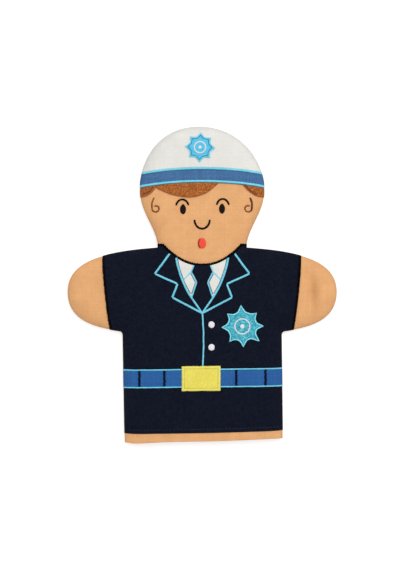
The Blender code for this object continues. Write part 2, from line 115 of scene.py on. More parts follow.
def evenOutline(outline, step, closest=0.00006, spike=2.6, corner=0.6):
    # A closed outline with its points at equal steps between its sharp corners; spike and corner are turns in radians
    points = []
    for p in outline:
        if not points or hypot(p[0] - points[-1][0], p[1] - points[-1][1]) > closest:
            points.append(tuple(p))
    while hypot(points[0][0] - points[-1][0], points[0][1] - points[-1][1]) < closest:
        points.pop()

    def turnAt(k):
        (ax, ay), (x, y), (bx, by) = points[k - 1], points[k], points[(k + 1) % len(points)]
        return abs(atan2((x - ax) * (by - y) - (y - ay) * (bx - x), (x - ax) * (bx - x) + (y - ay) * (by - y)))

    for _ in range(3):  # a line that runs back on itself would leave a spike
        points = [p for k, p in enumerate(points) if turnAt(k) < spike]
    corners = [k for k in range(len(points)) if turnAt(k) > corner]
    if not corners:
        return evenly(points + points[:1], step)[:-1]
    points = points[corners[0]:] + points[:corners[0]]
    corners = [k - corners[0] for k in corners] + [len(points)]
    points.append(points[0])
    result = []
    for a, b in zip(corners, corners[1:]):
        result += evenly(points[a:b + 1], step)[:-1]
    return result


def rightHand(path):
    # Unit normals on the right of the line
    normals = []
    for k in range(len(path)):
        a, b = path[max(k - 1, 0)], path[min(k + 1, len(path) - 1)]
        length = hypot(b[0] - a[0], b[1] - a[1]) or 1
        normals.append(((b[1] - a[1]) / length, (a[0] - b[0]) / length))
    return normals


def beside(path, distance):
    return [(p[0] + distance * n[0], p[1] + distance * n[1]) for p, n in zip(path, rightHand(path))]


def distanceTo(lines):
    # A function that gives the distance to the nearest of the lines, negative on their left
    count = sum(len(line) for line in lines)
    tree, places = kdtree.KDTree(count), []
    for line in lines:
        for k, point in enumerate(line):
            tree.insert((*point, 0), len(places))
            places.append((line, k))
    tree.balance()

    def distance(x, y):
        line, k = places[tree.find((x, y, 0))[1]]
        best = None
        for a, b in ((k - 1, k), (k, k + 1)):
            if a < 0 or b >= len(line):
                continue
            (ax, ay), (bx, by) = line[a], line[b]
            ux, uy = bx - ax, by - ay
            long = ux * ux + uy * uy
            if not long:
                continue
            t = min(max(((x - ax) * ux + (y - ay) * uy) / long, 0), 1)
            far = hypot(x - ax - t * ux, y - ay - t * uy)
            if best is None or far < abs(best):
                best = far if ux * (y - ay) - uy * (x - ax) <= 0 else -far
        return best

    return distance


def seamLine():
    # From the hem's left corner, up round the arm and the head, and down to its right corner
    sides = []
    for side, corner in ((-1, 0), (1, panel["hemRise"])):
        crown = (panel["crownLean"], puppetHeight - panel["crownInset"])
        cheek = (side * headSide, bodyHeight + panel["cheekHeight"])
        neck = (side * neckSide, bodyHeight)
        tip = (side * panel["armReach"], bodyHeight - panel["armTipDrop"])
        radius = panel["armpitRadius"]
        armpit = (side * (bodySide + radius), bodyHeight - panel["armpitDrop"])
        armSpan, sleeveSpan, drop = panel["armReach"] - neckSide, tip[0] - armpit[0], tip[1] - armpit[1]
        cheekHeight = panel["cheekHeight"]
        points = bezier(crown, (side * pulls["crown"] * headSide, 0), (0, pulls["temple"] * (crown[1] - cheek[1])),
                        cheek, 60)
        points += bezier(cheek, (0, -pulls["jaw"] * cheekHeight),
                         (side * pulls["neck"][0] * cheekHeight, pulls["neck"][1] * cheekHeight), neck, 40)[1:]
        points += bezier(neck, (side * pulls["shoulder"] * armSpan, -panel["shoulderFall"][side > 0] * armSpan),
                         (0, pulls["tipTop"] * panel["armTipDrop"]), tip, 60)[1:]
        points += bezier(tip, (0, -pulls["tipLow"] * drop),
                         (pulls["sleeve"][0] * sleeveSpan, pulls["sleeve"][1] * drop), armpit, 60)[1:]
        points += arc((armpit[0], armpit[1] - radius), -side * radius, radius, 90, 0, 12)[1:]
        points.append((panel["hemShift"] + side * panel["hemWidth"] / 2, corner))
        sides.append(points)
    return sides[0][::-1] + sides[1][1:]


seam = evenly(seamLine(), panel["seamStep"])
inward = rightHand(seam)
seamDistance = distanceTo([seam])
crownIndex = max(range(len(seam)), key=lambda i: seam[i][1])
hemLine = [seam[-1], seam[0]]
hemDistance = distanceTo([evenly(hemLine, 0.002)])


def seamCut(test, first, last):
    # First point of the seam that passes the test, going from one index to another
    step = 1 if last > first else -1
    return next(i for i in range(first, last, step) if test(*seam[i]))


def turnOut(above, y):
    # How far outside the seam a layer at that height lies where it turns round it; the cap's cloth is thicker
    cap = min(max((y - bodyHeight - wrap["capFrom"]) / wrap["capFade"], 0), 1)
    return min((wrap["share"] + (1 - wrap["share"]) * cap) * above, wrap["most"] + wrap["most"] * cap)


def alongSeam(first, last, above):
    # The seam between two of its points, moved out to where a layer turns round it
    step = 1 if last >= first else -1
    points = []
    for i in range(first, last + step, step):
        out = turnOut(above, seam[i][1])
        points.append((seam[i][0] - out * inward[i][0], seam[i][1] - out * inward[i][1]))
    return points


def seamPoint(i, above):
    return alongSeam(i, i, above)[0]


# Soft folds that lie in the cloth: middle, direction in degrees, half length, half width, depth
folds = (
    ((0.0953, 0.1355), 93, 0.0230, 0.0042, -0.0029), ((0.1030, 0.1350), 91, 0.0180, 0.0040, 0.0006),
    ((-0.0190, 0.2620), 40, 0.0150, 0.0020, 0.00018), ((0.0310, 0.2570), 118, 0.0140, 0.0022, 0.00018),
    ((0.0120, 0.2700), 160, 0.0120, 0.0022, -0.00012), ((-0.0340, 0.2540), 62, 0.0110, 0.0020, -0.00014),
    ((-0.0700, 0.1220), 48, 0.0200, 0.0030, 0.00030), ((0.0700, 0.1220), 132, 0.0200, 0.0030, 0.00030),
    ((-0.0600, 0.1090), 36, 0.0160, 0.0026, -0.00025), ((0.0600, 0.1090), 144, 0.0160, 0.0026, -0.00025),
    ((-0.0930, 0.1170), 78, 0.0120, 0.0026, -0.0008), ((-0.0960, 0.1480), 118, 0.0120, 0.0024, -0.0005),
    ((-0.0430, 0.0330), 84, 0.0180, 0.0035, 0.00025), ((0.0350, 0.0300), 98, 0.0200, 0.0035, 0.00022),
)
foldReach = 0.04  # a fold is left out farther off than this
unevenness = ((0.00034, 24, 1.7), (0.00011, 85, 5.2))  # height, waves to a metre and place in the noise
# Painted shade in the arm's fold: its middle, lean, half width, half length and strength
armCreaseShade = {"middle": (0.0990, 0.1360), "lean": 0.05, "halfWidth": 0.0044, "halfLength": 0.0210, "strength": 1.1}
seamShade = 0.0020  # width of the painted shade along the seam


def rumple(x, y):
    lift = sum(height * noise.noise((often * x, often * y, place)) for height, often, place in unevenness)
    for (cx, cy), turn, long, wide, depth in folds:
        dx, dy = x - cx, y - cy
        if abs(dx) > foldReach or abs(dy) > foldReach:
            continue
        c, s = cos(radians(turn)), sin(radians(turn))
        lift += depth * exp(-((c * dx + s * dy) / long) ** 2 - ((c * dy - s * dx) / wide) ** 2)
    return lift


def layerHeight(x, y, above=0.0):
    # Height of the face of a layer that lies the given distance above the front cloth
    out = turnOut(above, y)
    share = min(max((seamDistance(x, y) + out) / (panel["puffWidth"] + out), 0), 1)
    climb = panel["frontHeight"] - panel["seamCentre"] + above
    steep, blunt = panel["puffShape"]
    return panel["seamCentre"] + climb * (1 - (1 - share) ** steep) ** blunt + rumple(x, y) * min(1.6 * share, 1)


def hemWave(x, y):
    lift = wave["lift"] + wave["height"] * cos(2 * pi * (x + wave["shift"]) / wave["length"])
    lift += wave["curl"] * exp(-((x - wave["curlPlace"]) / wave["curlWidth"]) ** 2)
    return lift * exp(-max(y - wave["flat"], 0) / wave["fade"])


finishes = {}  # name: its material and its slot


def madePiece(name, bm, finish, nodes=(), thickness=None):
    # An object at the origin with the finish of that name
    material, slotName = finishes[finish]
    mesh = bpy.data.meshes.new(name)
    for vert in bm.verts:
        vert.co.y += hemWave(vert.co.x, vert.co.y)
    bmesh.ops.translate(bm, verts=bm.verts, vec=(0, -puppetHeight / 2, 0))  # from pattern heights to the frame
    bm.normal_update()
    bm.to_mesh(mesh)
    bm.free()
    mesh.shade_smooth()
    mesh.materials.append(material)
    piece = bpy.data.objects.new(name, mesh)
    bpy.context.scene.collection.objects.link(piece)
    if thickness:
        wall = piece.modifiers.new("clothThickness", 'SOLIDIFY')
        wall.thickness = thickness
        wall.offset = -1
    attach(piece, "root")
    if nodes:
        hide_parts(*nodes)
    return piece


def filledShape(outline, step, rings, lattice):
    # The shape's flat face, with rings that follow its edge and a lattice inside them
    corners = evenOutline(outline, step)
    bm = bmesh.new()
    bmesh.ops.create_circle(bm, cap_ends=True, segments=len(corners), radius=0.01)
    for vert, (x, y) in zip(bm.verts, corners):
        vert.co = (x, y, 0)
    bm.normal_update()
    bm.faces.ensure_lookup_table()
    if bm.faces[0].normal.z < 0:
        bmesh.ops.reverse_faces(bm, faces=bm.faces)
    middle = bm.faces[0]
    for ring in rings:
        bmesh.ops.inset_region(bm, faces=[middle], thickness=ring * step, use_boundary=True, use_even_offset=False)
    for axis in (0, 1):
        low, high = min(p[axis] for p in corners), max(p[axis] for p in corners)
        for k in range(1, int((high - low) / lattice) + 1):
            place, normal = [0, 0, 0], [0, 0, 0]
            place[axis], normal[axis] = low + (k - 0.37) * lattice, 1  # an odd share keeps cuts off the corners
            bmesh.ops.bisect_plane(bm, geom=bm.verts[:] + bm.edges[:] + bm.faces[:], dist=1e-7,
                                   plane_co=place, plane_no=normal)
    return bm


def seamAndCreaseShade(x, y):
    # Painted shade along the rolled seam and in the arm's crease: 1 at the sewn edge and in the crease, falling to 0
    # a little way off
    middle, up = armCreaseShade["middle"][0], y - armCreaseShade["middle"][1]
    crease = armCreaseShade["strength"] * exp(-((x + armCreaseShade["lean"] * up - middle) / armCreaseShade["halfWidth"]) ** 2
                                         - (up / armCreaseShade["halfLength"]) ** 2)
    return max(1 - abs(seamDistance(x, y)) / seamShade, crease, 0)


def clothPatch(name, nodes, outline, cuts, above, finish, base=0.0, roll=0.0007, thickness=0.0005, step=0.0008,
               rings=(0.15, 0.2, 0.25), lattice=0.0024, laidOn=None):
    # A patch whose cut edges roll down to what it is sewn on; base is the height of that, and no cuts means all round
    bm = filledShape(outline, step, rings, lattice)
    rim = bm.verts.layers.float.new("rim")
    toCut = distanceTo([evenly(cut, 0.0004) for cut in cuts or [outline + outline[:1]]])
    low = base + thickness + 0.00004
    for vert in bm.verts:
        x, y, _ = vert.co
        share = min(abs(toCut(x, y)) / roll, 1)
        lift = low + (above - low) * sqrt(1 - (1 - share) ** 2)
        vert.co.z = layerHeight(x, y, lift)
        # The rim attribute carries the painted shade along the seam and in the arm's crease
        vert[rim] = seamAndCreaseShade(x, y)
    patch = madePiece(name, bm, finish, nodes, thickness)
    return patch


# How a small raised filling is meshed, and how uneven the stitched lines are: waves to a metre, shares and metres
smallFilling = {"step": 0.0004, "lattice": 0.0008, "rings": (0.25, 0.35, 0.4), "thickness": 0.0004}
stitching = {"edgeOften": 260, "widthOften": 190, "swayOften": 140, "widthChange": 0.10, "scallopStep": 0.0022,
             "narrowReach": 0.0045, "valley": 0.80, "bluntness": 0.75, "sunk": 0.00003}


def satinLine(name, nodes, paths, width, base, rise, finish, taper=0.5, jag=0.00009, wander=0.00012, slant=0.0,
              seed=1, scallop=0.0, pitch=0.0004, narrow=0.0):
    # Each path becomes a closed rounded cord of stitches; taper is the share of the width that an end rounds over
    chance = random.Random(seed)
    whole = bmesh.new()
    stitch = whole.verts.layers.float_vector.new("stitch")
    for number, path in enumerate(paths):
        points = evenly(path, pitch / 2)
        normals = rightHand(points)
        last = len(points) - 1
        closed = hypot(points[0][0] - points[last][0], points[0][1] - points[last][1]) < 1e-6
        drift = chance.uniform(0, 50)
        ends = [[chance.uniform(-jag, jag) for _ in range(last + 3)] for _ in range(2)]
        grid = bmesh.ops.create_grid(whole, x_segments=last, y_segments=10, size=1)["verts"]
        for vert in grid:
            k = round((vert.co.x + 1) / 2 * last)
            turn = pi * (vert.co.y + 1)
            along = k * pitch / 2
            fromEnd = min(along, last * pitch / 2 - along)
            end = 1.0 if closed else sqrt(max(1 - (1 - min(fromEnd / (taper * width), 1)) ** 2, 0))
            edge = ends[0 if cos(turn) > 0 else 1][k // 2]
            edge += wander * 0.5 * noise.noise((drift, along * stitching["edgeOften"], 3.0))
            change = noise.noise((drift + 9, along * stitching["widthOften"], 1.0))
            half = width / 2 * (1 + stitching["widthChange"] * change) + edge
            half += scallop * abs(sin(pi * along / stitching["scallopStep"]))
            half *= 1 - narrow * max(1 - fromEnd / stitching["narrowReach"], 0)
            across = cos(turn) * half * end
            sway = wander * noise.noise((drift + 4, along * stitching["swayOften"], 7.0))
            ridge = 1.0 if k % 2 else stitching["valley"]
            up = base + (max(sin(turn), 0) ** stitching["bluntness"] * rise * ridge if sin(turn) > 0
                         else -stitching["sunk"]) * end
            p, n = points[k], normals[k]
            lean = slant * across
            q = points[min(max(round(k + lean / (pitch / 2)), 0), last)] if slant and not closed else p
            x, y = q[0] + (across + sway) * n[0], q[1] + (across + sway) * n[1]
            vert.co = (x, y, layerHeight(x, y, up))
            # The third value grows from the cord's top to its sides and drives the painted shade there
            vert[stitch] = (along + number, across, 1 - max(sin(turn), 0))
        bmesh.ops.remove_doubles(whole, verts=grid, dist=1e-6)
    bmesh.ops.recalc_face_normals(whole, faces=whole.faces)
    return madePiece(name, whole, finish, nodes)


# Node groups that several finishes share; a group's first input is a vector and the rest are numbers
def newGroup(name, vector, numbers, outputs):
    group = bpy.data.node_groups.new(name, 'ShaderNodeTree')
    group.interface.new_socket(vector, in_out='INPUT', socket_type='NodeSocketVector')
    for title, value in numbers.items():
        group.interface.new_socket(title, in_out='INPUT', socket_type='NodeSocketFloat').default_value = value
    for title in outputs:
        group.interface.new_socket(title, in_out='OUTPUT', socket_type='NodeSocketFloat')
    return group, group.nodes.new('NodeGroupInput').outputs


def giveOut(group, *values):
    result = group.nodes.new('NodeGroupOutput')
    for socket, value in zip(result.inputs, values):
        group.links.new(value, socket)
    return group


def put(tree, kind, inputs=(), **settings):
    # One node with its settings; an input is a value or another node's output
    node = tree.nodes.new(kind)
    for key, value in settings.items():
        setattr(node, key, value)
    for socket, value in dict(inputs).items():
        target = node.inputs[socket]
        if isinstance(value, bpy.types.NodeSocket):
            tree.links.new(value, target)
        else:
            target.default_value = value
    return node


def math(tree, operation, *values):
    return put(tree, 'ShaderNodeMath', dict(enumerate(values)), operation=operation).outputs[0]


def ridges(tree, value):
    # 0 at each whole number and 1 half way between two
    return math(tree, 'ABSOLUTE', math(tree, 'SINE', math(tree, 'MULTIPLY', value, pi)))


def chanceOf(tree, number):
    # A number of its own for each thread or row
    return put(tree, 'ShaderNodeTexWhiteNoise', {"W": number}, noise_dimensions='1D').outputs["Value"]


def stretched(tree, value, low, high):
    return put(tree, 'ShaderNodeMapRange', {0: value, 1: low, 2: high, 3: 0.0, 4: 1.0}).outputs[0]


def scaled(tree, vector, factors):
    return put(tree, 'ShaderNodeVectorMath', {0: vector, 1: factors}, operation='MULTIPLY').outputs[0]


def turned(tree, vector, angle):
    return put(tree, 'ShaderNodeVectorRotate', {"Vector": vector, "Angle": angle}, rotation_type='Z_AXIS').outputs[0]


def speckled(tree, vector, scale, detail, roughness=0.5):
    return put(tree, 'ShaderNodeTexNoise', {
        "Vector": vector, "Scale": scale, "Detail": detail, "Roughness": roughness})


def wandering(tree, vector, scale, reach):
    # The place moved a little, so that no thread is quite straight
    drift = scaled(tree, speckled(tree, vector, scale, 1.0).outputs["Color"], (reach, reach, 0))
    return put(tree, 'ShaderNodeVectorMath', {0: vector, 1: drift}, operation='ADD').outputs[0]


def parts(tree, vector):
    return put(tree, 'ShaderNodeSeparateXYZ', {0: vector}).outputs


def weaveGroup():
    # Plain weave: warp and weft take turns on top, and no two threads are quite the same
    group, given = newGroup("plainWeave", "Vector", {"Thread": 0.0006}, ("Height", "Shade"))
    split = parts(group, wandering(group, given[0], 160.0, 0.0011))
    across = [math(group, 'DIVIDE', split[k], given[1]) for k in (0, 1)]
    crest = [ridges(group, value) for value in across]
    thread = [math(group, 'FLOOR', value) for value in across]
    over = math(group, 'PINGPONG', math(group, 'ADD', *thread), 1.0)
    warp, weft = [math(group, 'MULTIPLY', a, math(group, 'MULTIPLY_ADD', b, 0.45, 0.55)) for a, b in (
        crest, crest[::-1])]
    blend = put(group, 'ShaderNodeMix', {"Factor": over, 2: warp, 3: weft}).outputs[0]
    tones = [chanceOf(group, math(group, 'ADD', value, 7.3 * k)) for k, value in enumerate(thread)]
    tone = math(group, 'MULTIPLY', math(group, 'ADD', *tones), 0.5)
    return giveOut(group, blend, math(group, 'MULTIPLY_ADD', tone, 0.45, math(group, 'MULTIPLY', blend, 0.55)))


def napGroup():
    # Short brushed fibres that lie every way
    group, given = newGroup("brushedNap", "Vector", {"Scale": 1500.0}, ("Height", "Shade"))
    fibres = [speckled(group, scaled(group, turned(group, given[0], turn), (1, stretch, 1)), given[1], 3.0, 0.65
                       ).outputs[0] for turn, stretch in ((0.5, 0.22), (2.1, 0.28))]
    tufts = speckled(group, given[0], 420.0, 2.0).outputs[0]
    shade = math(group, 'MULTIPLY_ADD', math(group, 'MAXIMUM', *fibres), 0.6, math(group, 'MULTIPLY', tufts, 0.4))
    return giveOut(group, shade, stretched(group, shade, 0.38, 0.66))


def mottleGroup():
    # Slow patches of light and dark, with fine grain over them
    group, given = newGroup("clothMottle", "Vector", {"Patch": 0.012, "Grain": 0.0016}, ("Patches", "Grains"))
    masks = [stretched(group, speckled(group, given[0], math(group, 'DIVIDE', 1.0, size), detail, 0.6).outputs[0],
                       low, high) for size, low, high, detail in ((given[1], 0.36, 0.64, 2.0),
                                                                  (given[2], 0.34, 0.66, 3.0))]
    return giveOut(group, *masks)


def satinGroup():
    # Threads laid side by side across a stitched line; reads the piece's own stitch attribute. Edge is painted shade
    # that grows towards the cord's sides
    group, given = newGroup("satinThreads", "Stitch", {"Pitch": 0.0004, "Slant": 0.35}, ("Height", "Shade", "Edge"))
    split = parts(group, given[0])
    leant = math(group, 'ADD', split[0], math(group, 'MULTIPLY', split[1], given[2]))
    count = math(group, 'DIVIDE', leant, given[1])
    crest = ridges(group, count)
    tone = chanceOf(group, math(group, 'FLOOR', count))
    shade = math(group, 'MULTIPLY_ADD', tone, 0.55, math(group, 'MULTIPLY', crest, 0.45))
    return giveOut(group, crest, shade, stretched(group, split[2], 0.4, 1.0))


def rowsGroup():
    # Filling stitches: rows of thread, each stitch set off from the one beside it
    group, given = newGroup("fillingRows", "Vector", {"Pitch": 0.00045, "Length": 0.0034, "Angle": 0.0},
                            ("Height", "Shade"))
    split = parts(group, turned(group, wandering(group, given[0], 300.0, 0.0005), given[3]))
    rows = math(group, 'DIVIDE', split[1], given[1])
    row = math(group, 'FLOOR', rows)
    along = math(group, 'ADD', math(group, 'DIVIDE', split[0], given[2]), chanceOf(group, row))
    height = math(group, 'MULTIPLY', ridges(group, rows), math(group, 'POWER', ridges(group, along), 0.25))
    place = put(group, 'ShaderNodeCombineXYZ', {0: math(group, 'FLOOR', along), 1: row}).outputs[0]
    tone = put(group, 'ShaderNodeTexWhiteNoise', {"Vector": place}, noise_dimensions='2D').outputs["Value"]
    return giveOut(group, height, math(group, 'MULTIPLY_ADD', tone, 0.4, math(group, 'MULTIPLY', height, 0.6)))


patterns = {"weave": weaveGroup(), "nap": napGroup(), "satin": satinGroup(), "rows": rowsGroup()}
mottle = mottleGroup()


def threadFinish(name, slotName, dark, light, pattern, values=(), contrast=0.6, patches=0.12, grain=0.0016,
                 grains=0.12, grainColour=None, edges=0.0, edgeShadeColour=None, depth=0.00012, strength=0.5,
                 roughness=0.9, sheen=0.0, specular=0.3):
    # A cloth or thread: its pattern runs from dark to light, then patches and grain are laid over it, and edges lays
    # painted shade over that
    finish = bpy.data.materials.new(name)
    finish.use_nodes = True
    finish.diffuse_color = (*light, 1)
    tree = finish.node_tree
    surface = tree.nodes["Principled BSDF"]
    places = put(tree, 'ShaderNodeTexCoord').outputs["Object"]
    along = places
    if pattern == "satin":
        along = put(tree, 'ShaderNodeAttribute', attribute_name="stitch").outputs["Vector"]
    threads = put(tree, 'ShaderNodeGroup', node_tree=patterns[pattern])
    tree.links.new(along, threads.inputs[0])
    for title, value in dict(values).items():
        threads.inputs[title].default_value = value
    spots = put(tree, 'ShaderNodeGroup', {"Vector": places, "Grain": grain}, node_tree=mottle)
    middle = tuple(l + (d - l) * contrast for d, l in zip(dark, light))
    colour = put(tree, 'ShaderNodeMix', {"Factor": threads.outputs["Shade"], 6: (*middle, 1), 7: (*light, 1)},
                 data_type='RGBA').outputs[2]
    stainsAndShade = [(spots.outputs[0], patches, dark), (spots.outputs[1], grains, grainColour or dark)]
    # Painted shade: a satin finish darkens towards the cord's sides, other finishes along the seam and in the arm's
    # crease, as the rim attribute gives
    if edges:
        near = threads.outputs.get("Edge") or put(tree, 'ShaderNodeAttribute', attribute_name="rim").outputs["Fac"]
        stainsAndShade.append((near, edges, edgeShadeColour or dark))
    for mask, strongest, tint in stainsAndShade:
        colour = put(tree, 'ShaderNodeMix', {"Factor": math(tree, 'MULTIPLY', mask, strongest), 6: colour,
                                             7: (*tint, 1)}, data_type='RGBA').outputs[2]
    tree.links.new(colour, surface.inputs["Base Color"])
    bump = put(tree, 'ShaderNodeBump', {"Strength": strength, "Distance": depth, "Height": math(
        tree, 'MULTIPLY_ADD', spots.outputs[1], 0.35, threads.outputs["Height"])})
    tree.links.new(bump.outputs[0], surface.inputs["Normal"])
    surface.inputs["Roughness"].default_value = roughness
    surface.inputs["Specular IOR Level"].default_value = specular
    surface.inputs["Sheen Weight"].default_value = sheen
    surface.inputs["Sheen Roughness"].default_value = 0.5
    finishes[name] = (finish, slotName)


# The edges strength and its colour paint shade: along the seam and in the arm's crease on cloth, towards the cord's
# sides on satin thread
threadFinish("tanCloth", "tan_cloth", (0.58, 0.27, 0.10), (0.95, 0.515, 0.235), "weave", {"Thread": 0.0005},
             contrast=0.5, patches=0.22, edges=0.30, edgeShadeColour=(0.50, 0.22, 0.085), grains=0.26, grain=0.0013)
threadFinish("whiteCloth", "white_cloth", (0.58, 0.57, 0.515), (0.87, 0.86, 0.82), "weave", {"Thread": 0.00045},
             contrast=0.45, patches=0.16, edges=0.30, edgeShadeColour=(0.52, 0.51, 0.47), grains=0.18, depth=0.00008)
threadFinish("capBlueCloth", "cap_blue_cloth", (0.022, 0.075, 0.19), (0.115, 0.280, 0.56), "weave",
             {"Thread": 0.0007}, contrast=0.95, patches=0.15, edges=0.3, grains=0.5, grain=0.0013)
threadFinish("beltBlueCloth", "belt_blue_cloth", (0.009, 0.062, 0.225), (0.034, 0.180, 0.50), "weave",
             {"Thread": 0.0006}, contrast=0.8, patches=0.2, edges=0.30, grains=0.45, grain=0.0011)
threadFinish("navyCloth", "navy_cloth", (0.0035, 0.0048, 0.010), (0.0092, 0.0126, 0.0275), "nap", contrast=1.0,
             patches=0.25, grains=0.25, depth=0.00018, roughness=1.0, sheen=0.02, specular=0.06)
threadFinish("blackThread", "black_thread", (0.001, 0.0008, 0.0007), (0.0036, 0.0028, 0.0024), "satin", contrast=1.0,
             roughness=0.8, specular=0.04)
threadFinish("loopThread", "black_thread", (0.001, 0.003, 0.012), (0.004, 0.010, 0.032), "satin", contrast=1.0,
             roughness=0.8, specular=0.08)
threadFinish("lineThread", "black_thread", (0.003, 0.0015, 0.001), (0.009, 0.0045, 0.0025), "satin", contrast=1.0,
             roughness=0.8, specular=0.05)
threadFinish("hairThread", "hair_brown_thread", (0.26, 0.064, 0.012), (0.84, 0.270, 0.052), "rows",
             {"Pitch": 0.0006, "Length": 0.0019, "Angle": 0.4}, contrast=0.8, patches=0.1, grain=0.0013, grains=0.95,
             grainColour=(0.16, 0.040, 0.008), depth=0.0002, strength=0.7)
threadFinish("hairRimThread", "hair_brown_thread", (0.24, 0.075, 0.016), (0.46, 0.155, 0.038), "satin", contrast=0.8,
             roughness=0.8)
threadFinish("hairDarkThread", "hair_brown_thread", (0.06, 0.013, 0.004), (0.15, 0.038, 0.011), "satin", contrast=0.8,
             roughness=0.8)
threadFinish("curlThread", "hair_brown_thread", (0.15, 0.045, 0.012), (0.42, 0.145, 0.042), "satin", contrast=0.9,
             grains=0.4, roughness=0.8, specular=0.1)
threadFinish("cyanThread", "turquoise_thread", (0.05, 0.42, 0.62), (0.26, 0.82, 0.98), "satin", contrast=0.55,
             patches=0.2, grains=0.2, grain=0.0012, edges=0.6, edgeShadeColour=(0.008, 0.15, 0.26), roughness=0.5,
             specular=0.45, depth=0.0001)
threadFinish("tealThread", "turquoise_thread", (0.008, 0.075, 0.12), (0.02, 0.16, 0.26), "satin", contrast=0.8,
             roughness=0.7)
threadFinish("brightThread", "turquoise_thread", (0.10, 0.62, 0.84), (0.36, 0.96, 1.0), "satin", contrast=0.5,
             patches=0.2, edges=0.3, edgeShadeColour=(0.04, 0.34, 0.48), roughness=0.5, specular=0.45)
threadFinish("badgeThread", "badge_blue_thread", (0.022, 0.25, 0.40), (0.17, 0.95, 1.0), "rows",
             {"Pitch": 0.00055, "Length": 0.0021, "Angle": 0.9}, contrast=0.8, patches=0.1, grain=0.0012, grains=1.0,
             grainColour=(0.010, 0.17, 0.28), depth=0.00015, roughness=0.65)
threadFinish("capBadgeThread", "badge_blue_thread", (0.035, 0.36, 0.62), (0.15, 0.72, 0.95), "rows",
             {"Pitch": 0.0005, "Length": 0.0025, "Angle": 0.3}, contrast=0.8, grains=0.4, grain=0.0011, roughness=0.6)
threadFinish("capBadgeLine", "badge_blue_thread", (0.012, 0.13, 0.29), (0.035, 0.26, 0.46), "satin", roughness=0.6)
threadFinish("whiteThread", "white_thread", (0.58, 0.60, 0.66), (0.86, 0.85, 0.88), "satin", contrast=0.7,
             roughness=0.55, specular=0.4)
threadFinish("buttonThread", "white_thread", (0.64, 0.60, 0.68), (0.94, 0.92, 0.96), "rows",
             {"Pitch": 0.0004, "Length": 0.006, "Angle": 1.2}, contrast=0.7, roughness=0.55)
threadFinish("yellowThread", "buckle_yellow_thread", (0.66, 0.54, 0.055), (0.98, 0.88, 0.17), "rows",
             {"Pitch": 0.0005, "Length": 0.0030, "Angle": 1.57}, contrast=0.7, patches=0.2, grains=0.3, grain=0.0013,
             roughness=0.6, specular=0.15)
threadFinish("yellowRim", "buckle_yellow_thread", (0.74, 0.62, 0.06), (0.99, 0.92, 0.21), "satin", contrast=0.7,
             edges=0.35, edgeShadeColour=(0.42, 0.32, 0.02), roughness=0.5)
threadFinish("oliveThread", "buckle_yellow_thread", (0.50, 0.40, 0.04), (0.72, 0.62, 0.09), "satin", roughness=0.8)
threadFinish("redThread", "red_thread", (0.70, 0.018, 0.010), (1.0, 0.090, 0.040), "rows",
             {"Pitch": 0.0004, "Length": 0.008, "Angle": 1.5}, contrast=0.6, roughness=0.5)
threadFinish("redEdgeThread", "red_thread", (0.14, 0.008, 0.005), (0.34, 0.018, 0.012), "satin", roughness=0.7)
threadFinish("eyeThread", "black_thread", (0.003, 0.002, 0.0015), (0.014, 0.008, 0.006), "rows",
             {"Pitch": 0.0004, "Length": 0.008, "Angle": 0.0}, roughness=0.75, specular=0.08)
threadFinish("seamThread", "tan_cloth", (0.50, 0.23, 0.09), (0.80, 0.42, 0.19), "satin", roughness=0.8)
threadFinish("navyThread", "navy_cloth", (0.005, 0.008, 0.016), (0.026, 0.036, 0.064), "satin", roughness=0.8,
             specular=0.08)
print("finishes made")


# The two sewn panels
seamIndex = kdtree.KDTree(len(seam))
for i, point in enumerate(seam):
    seamIndex.insert((*point, 0), i)
seamIndex.balance()
acrossHem = (seam[-1][0] - seam[0][0], seam[-1][1] - seam[0][1])
upHem = (-acrossHem[1] / hypot(*acrossHem), acrossHem[0] / hypot(*acrossHem))


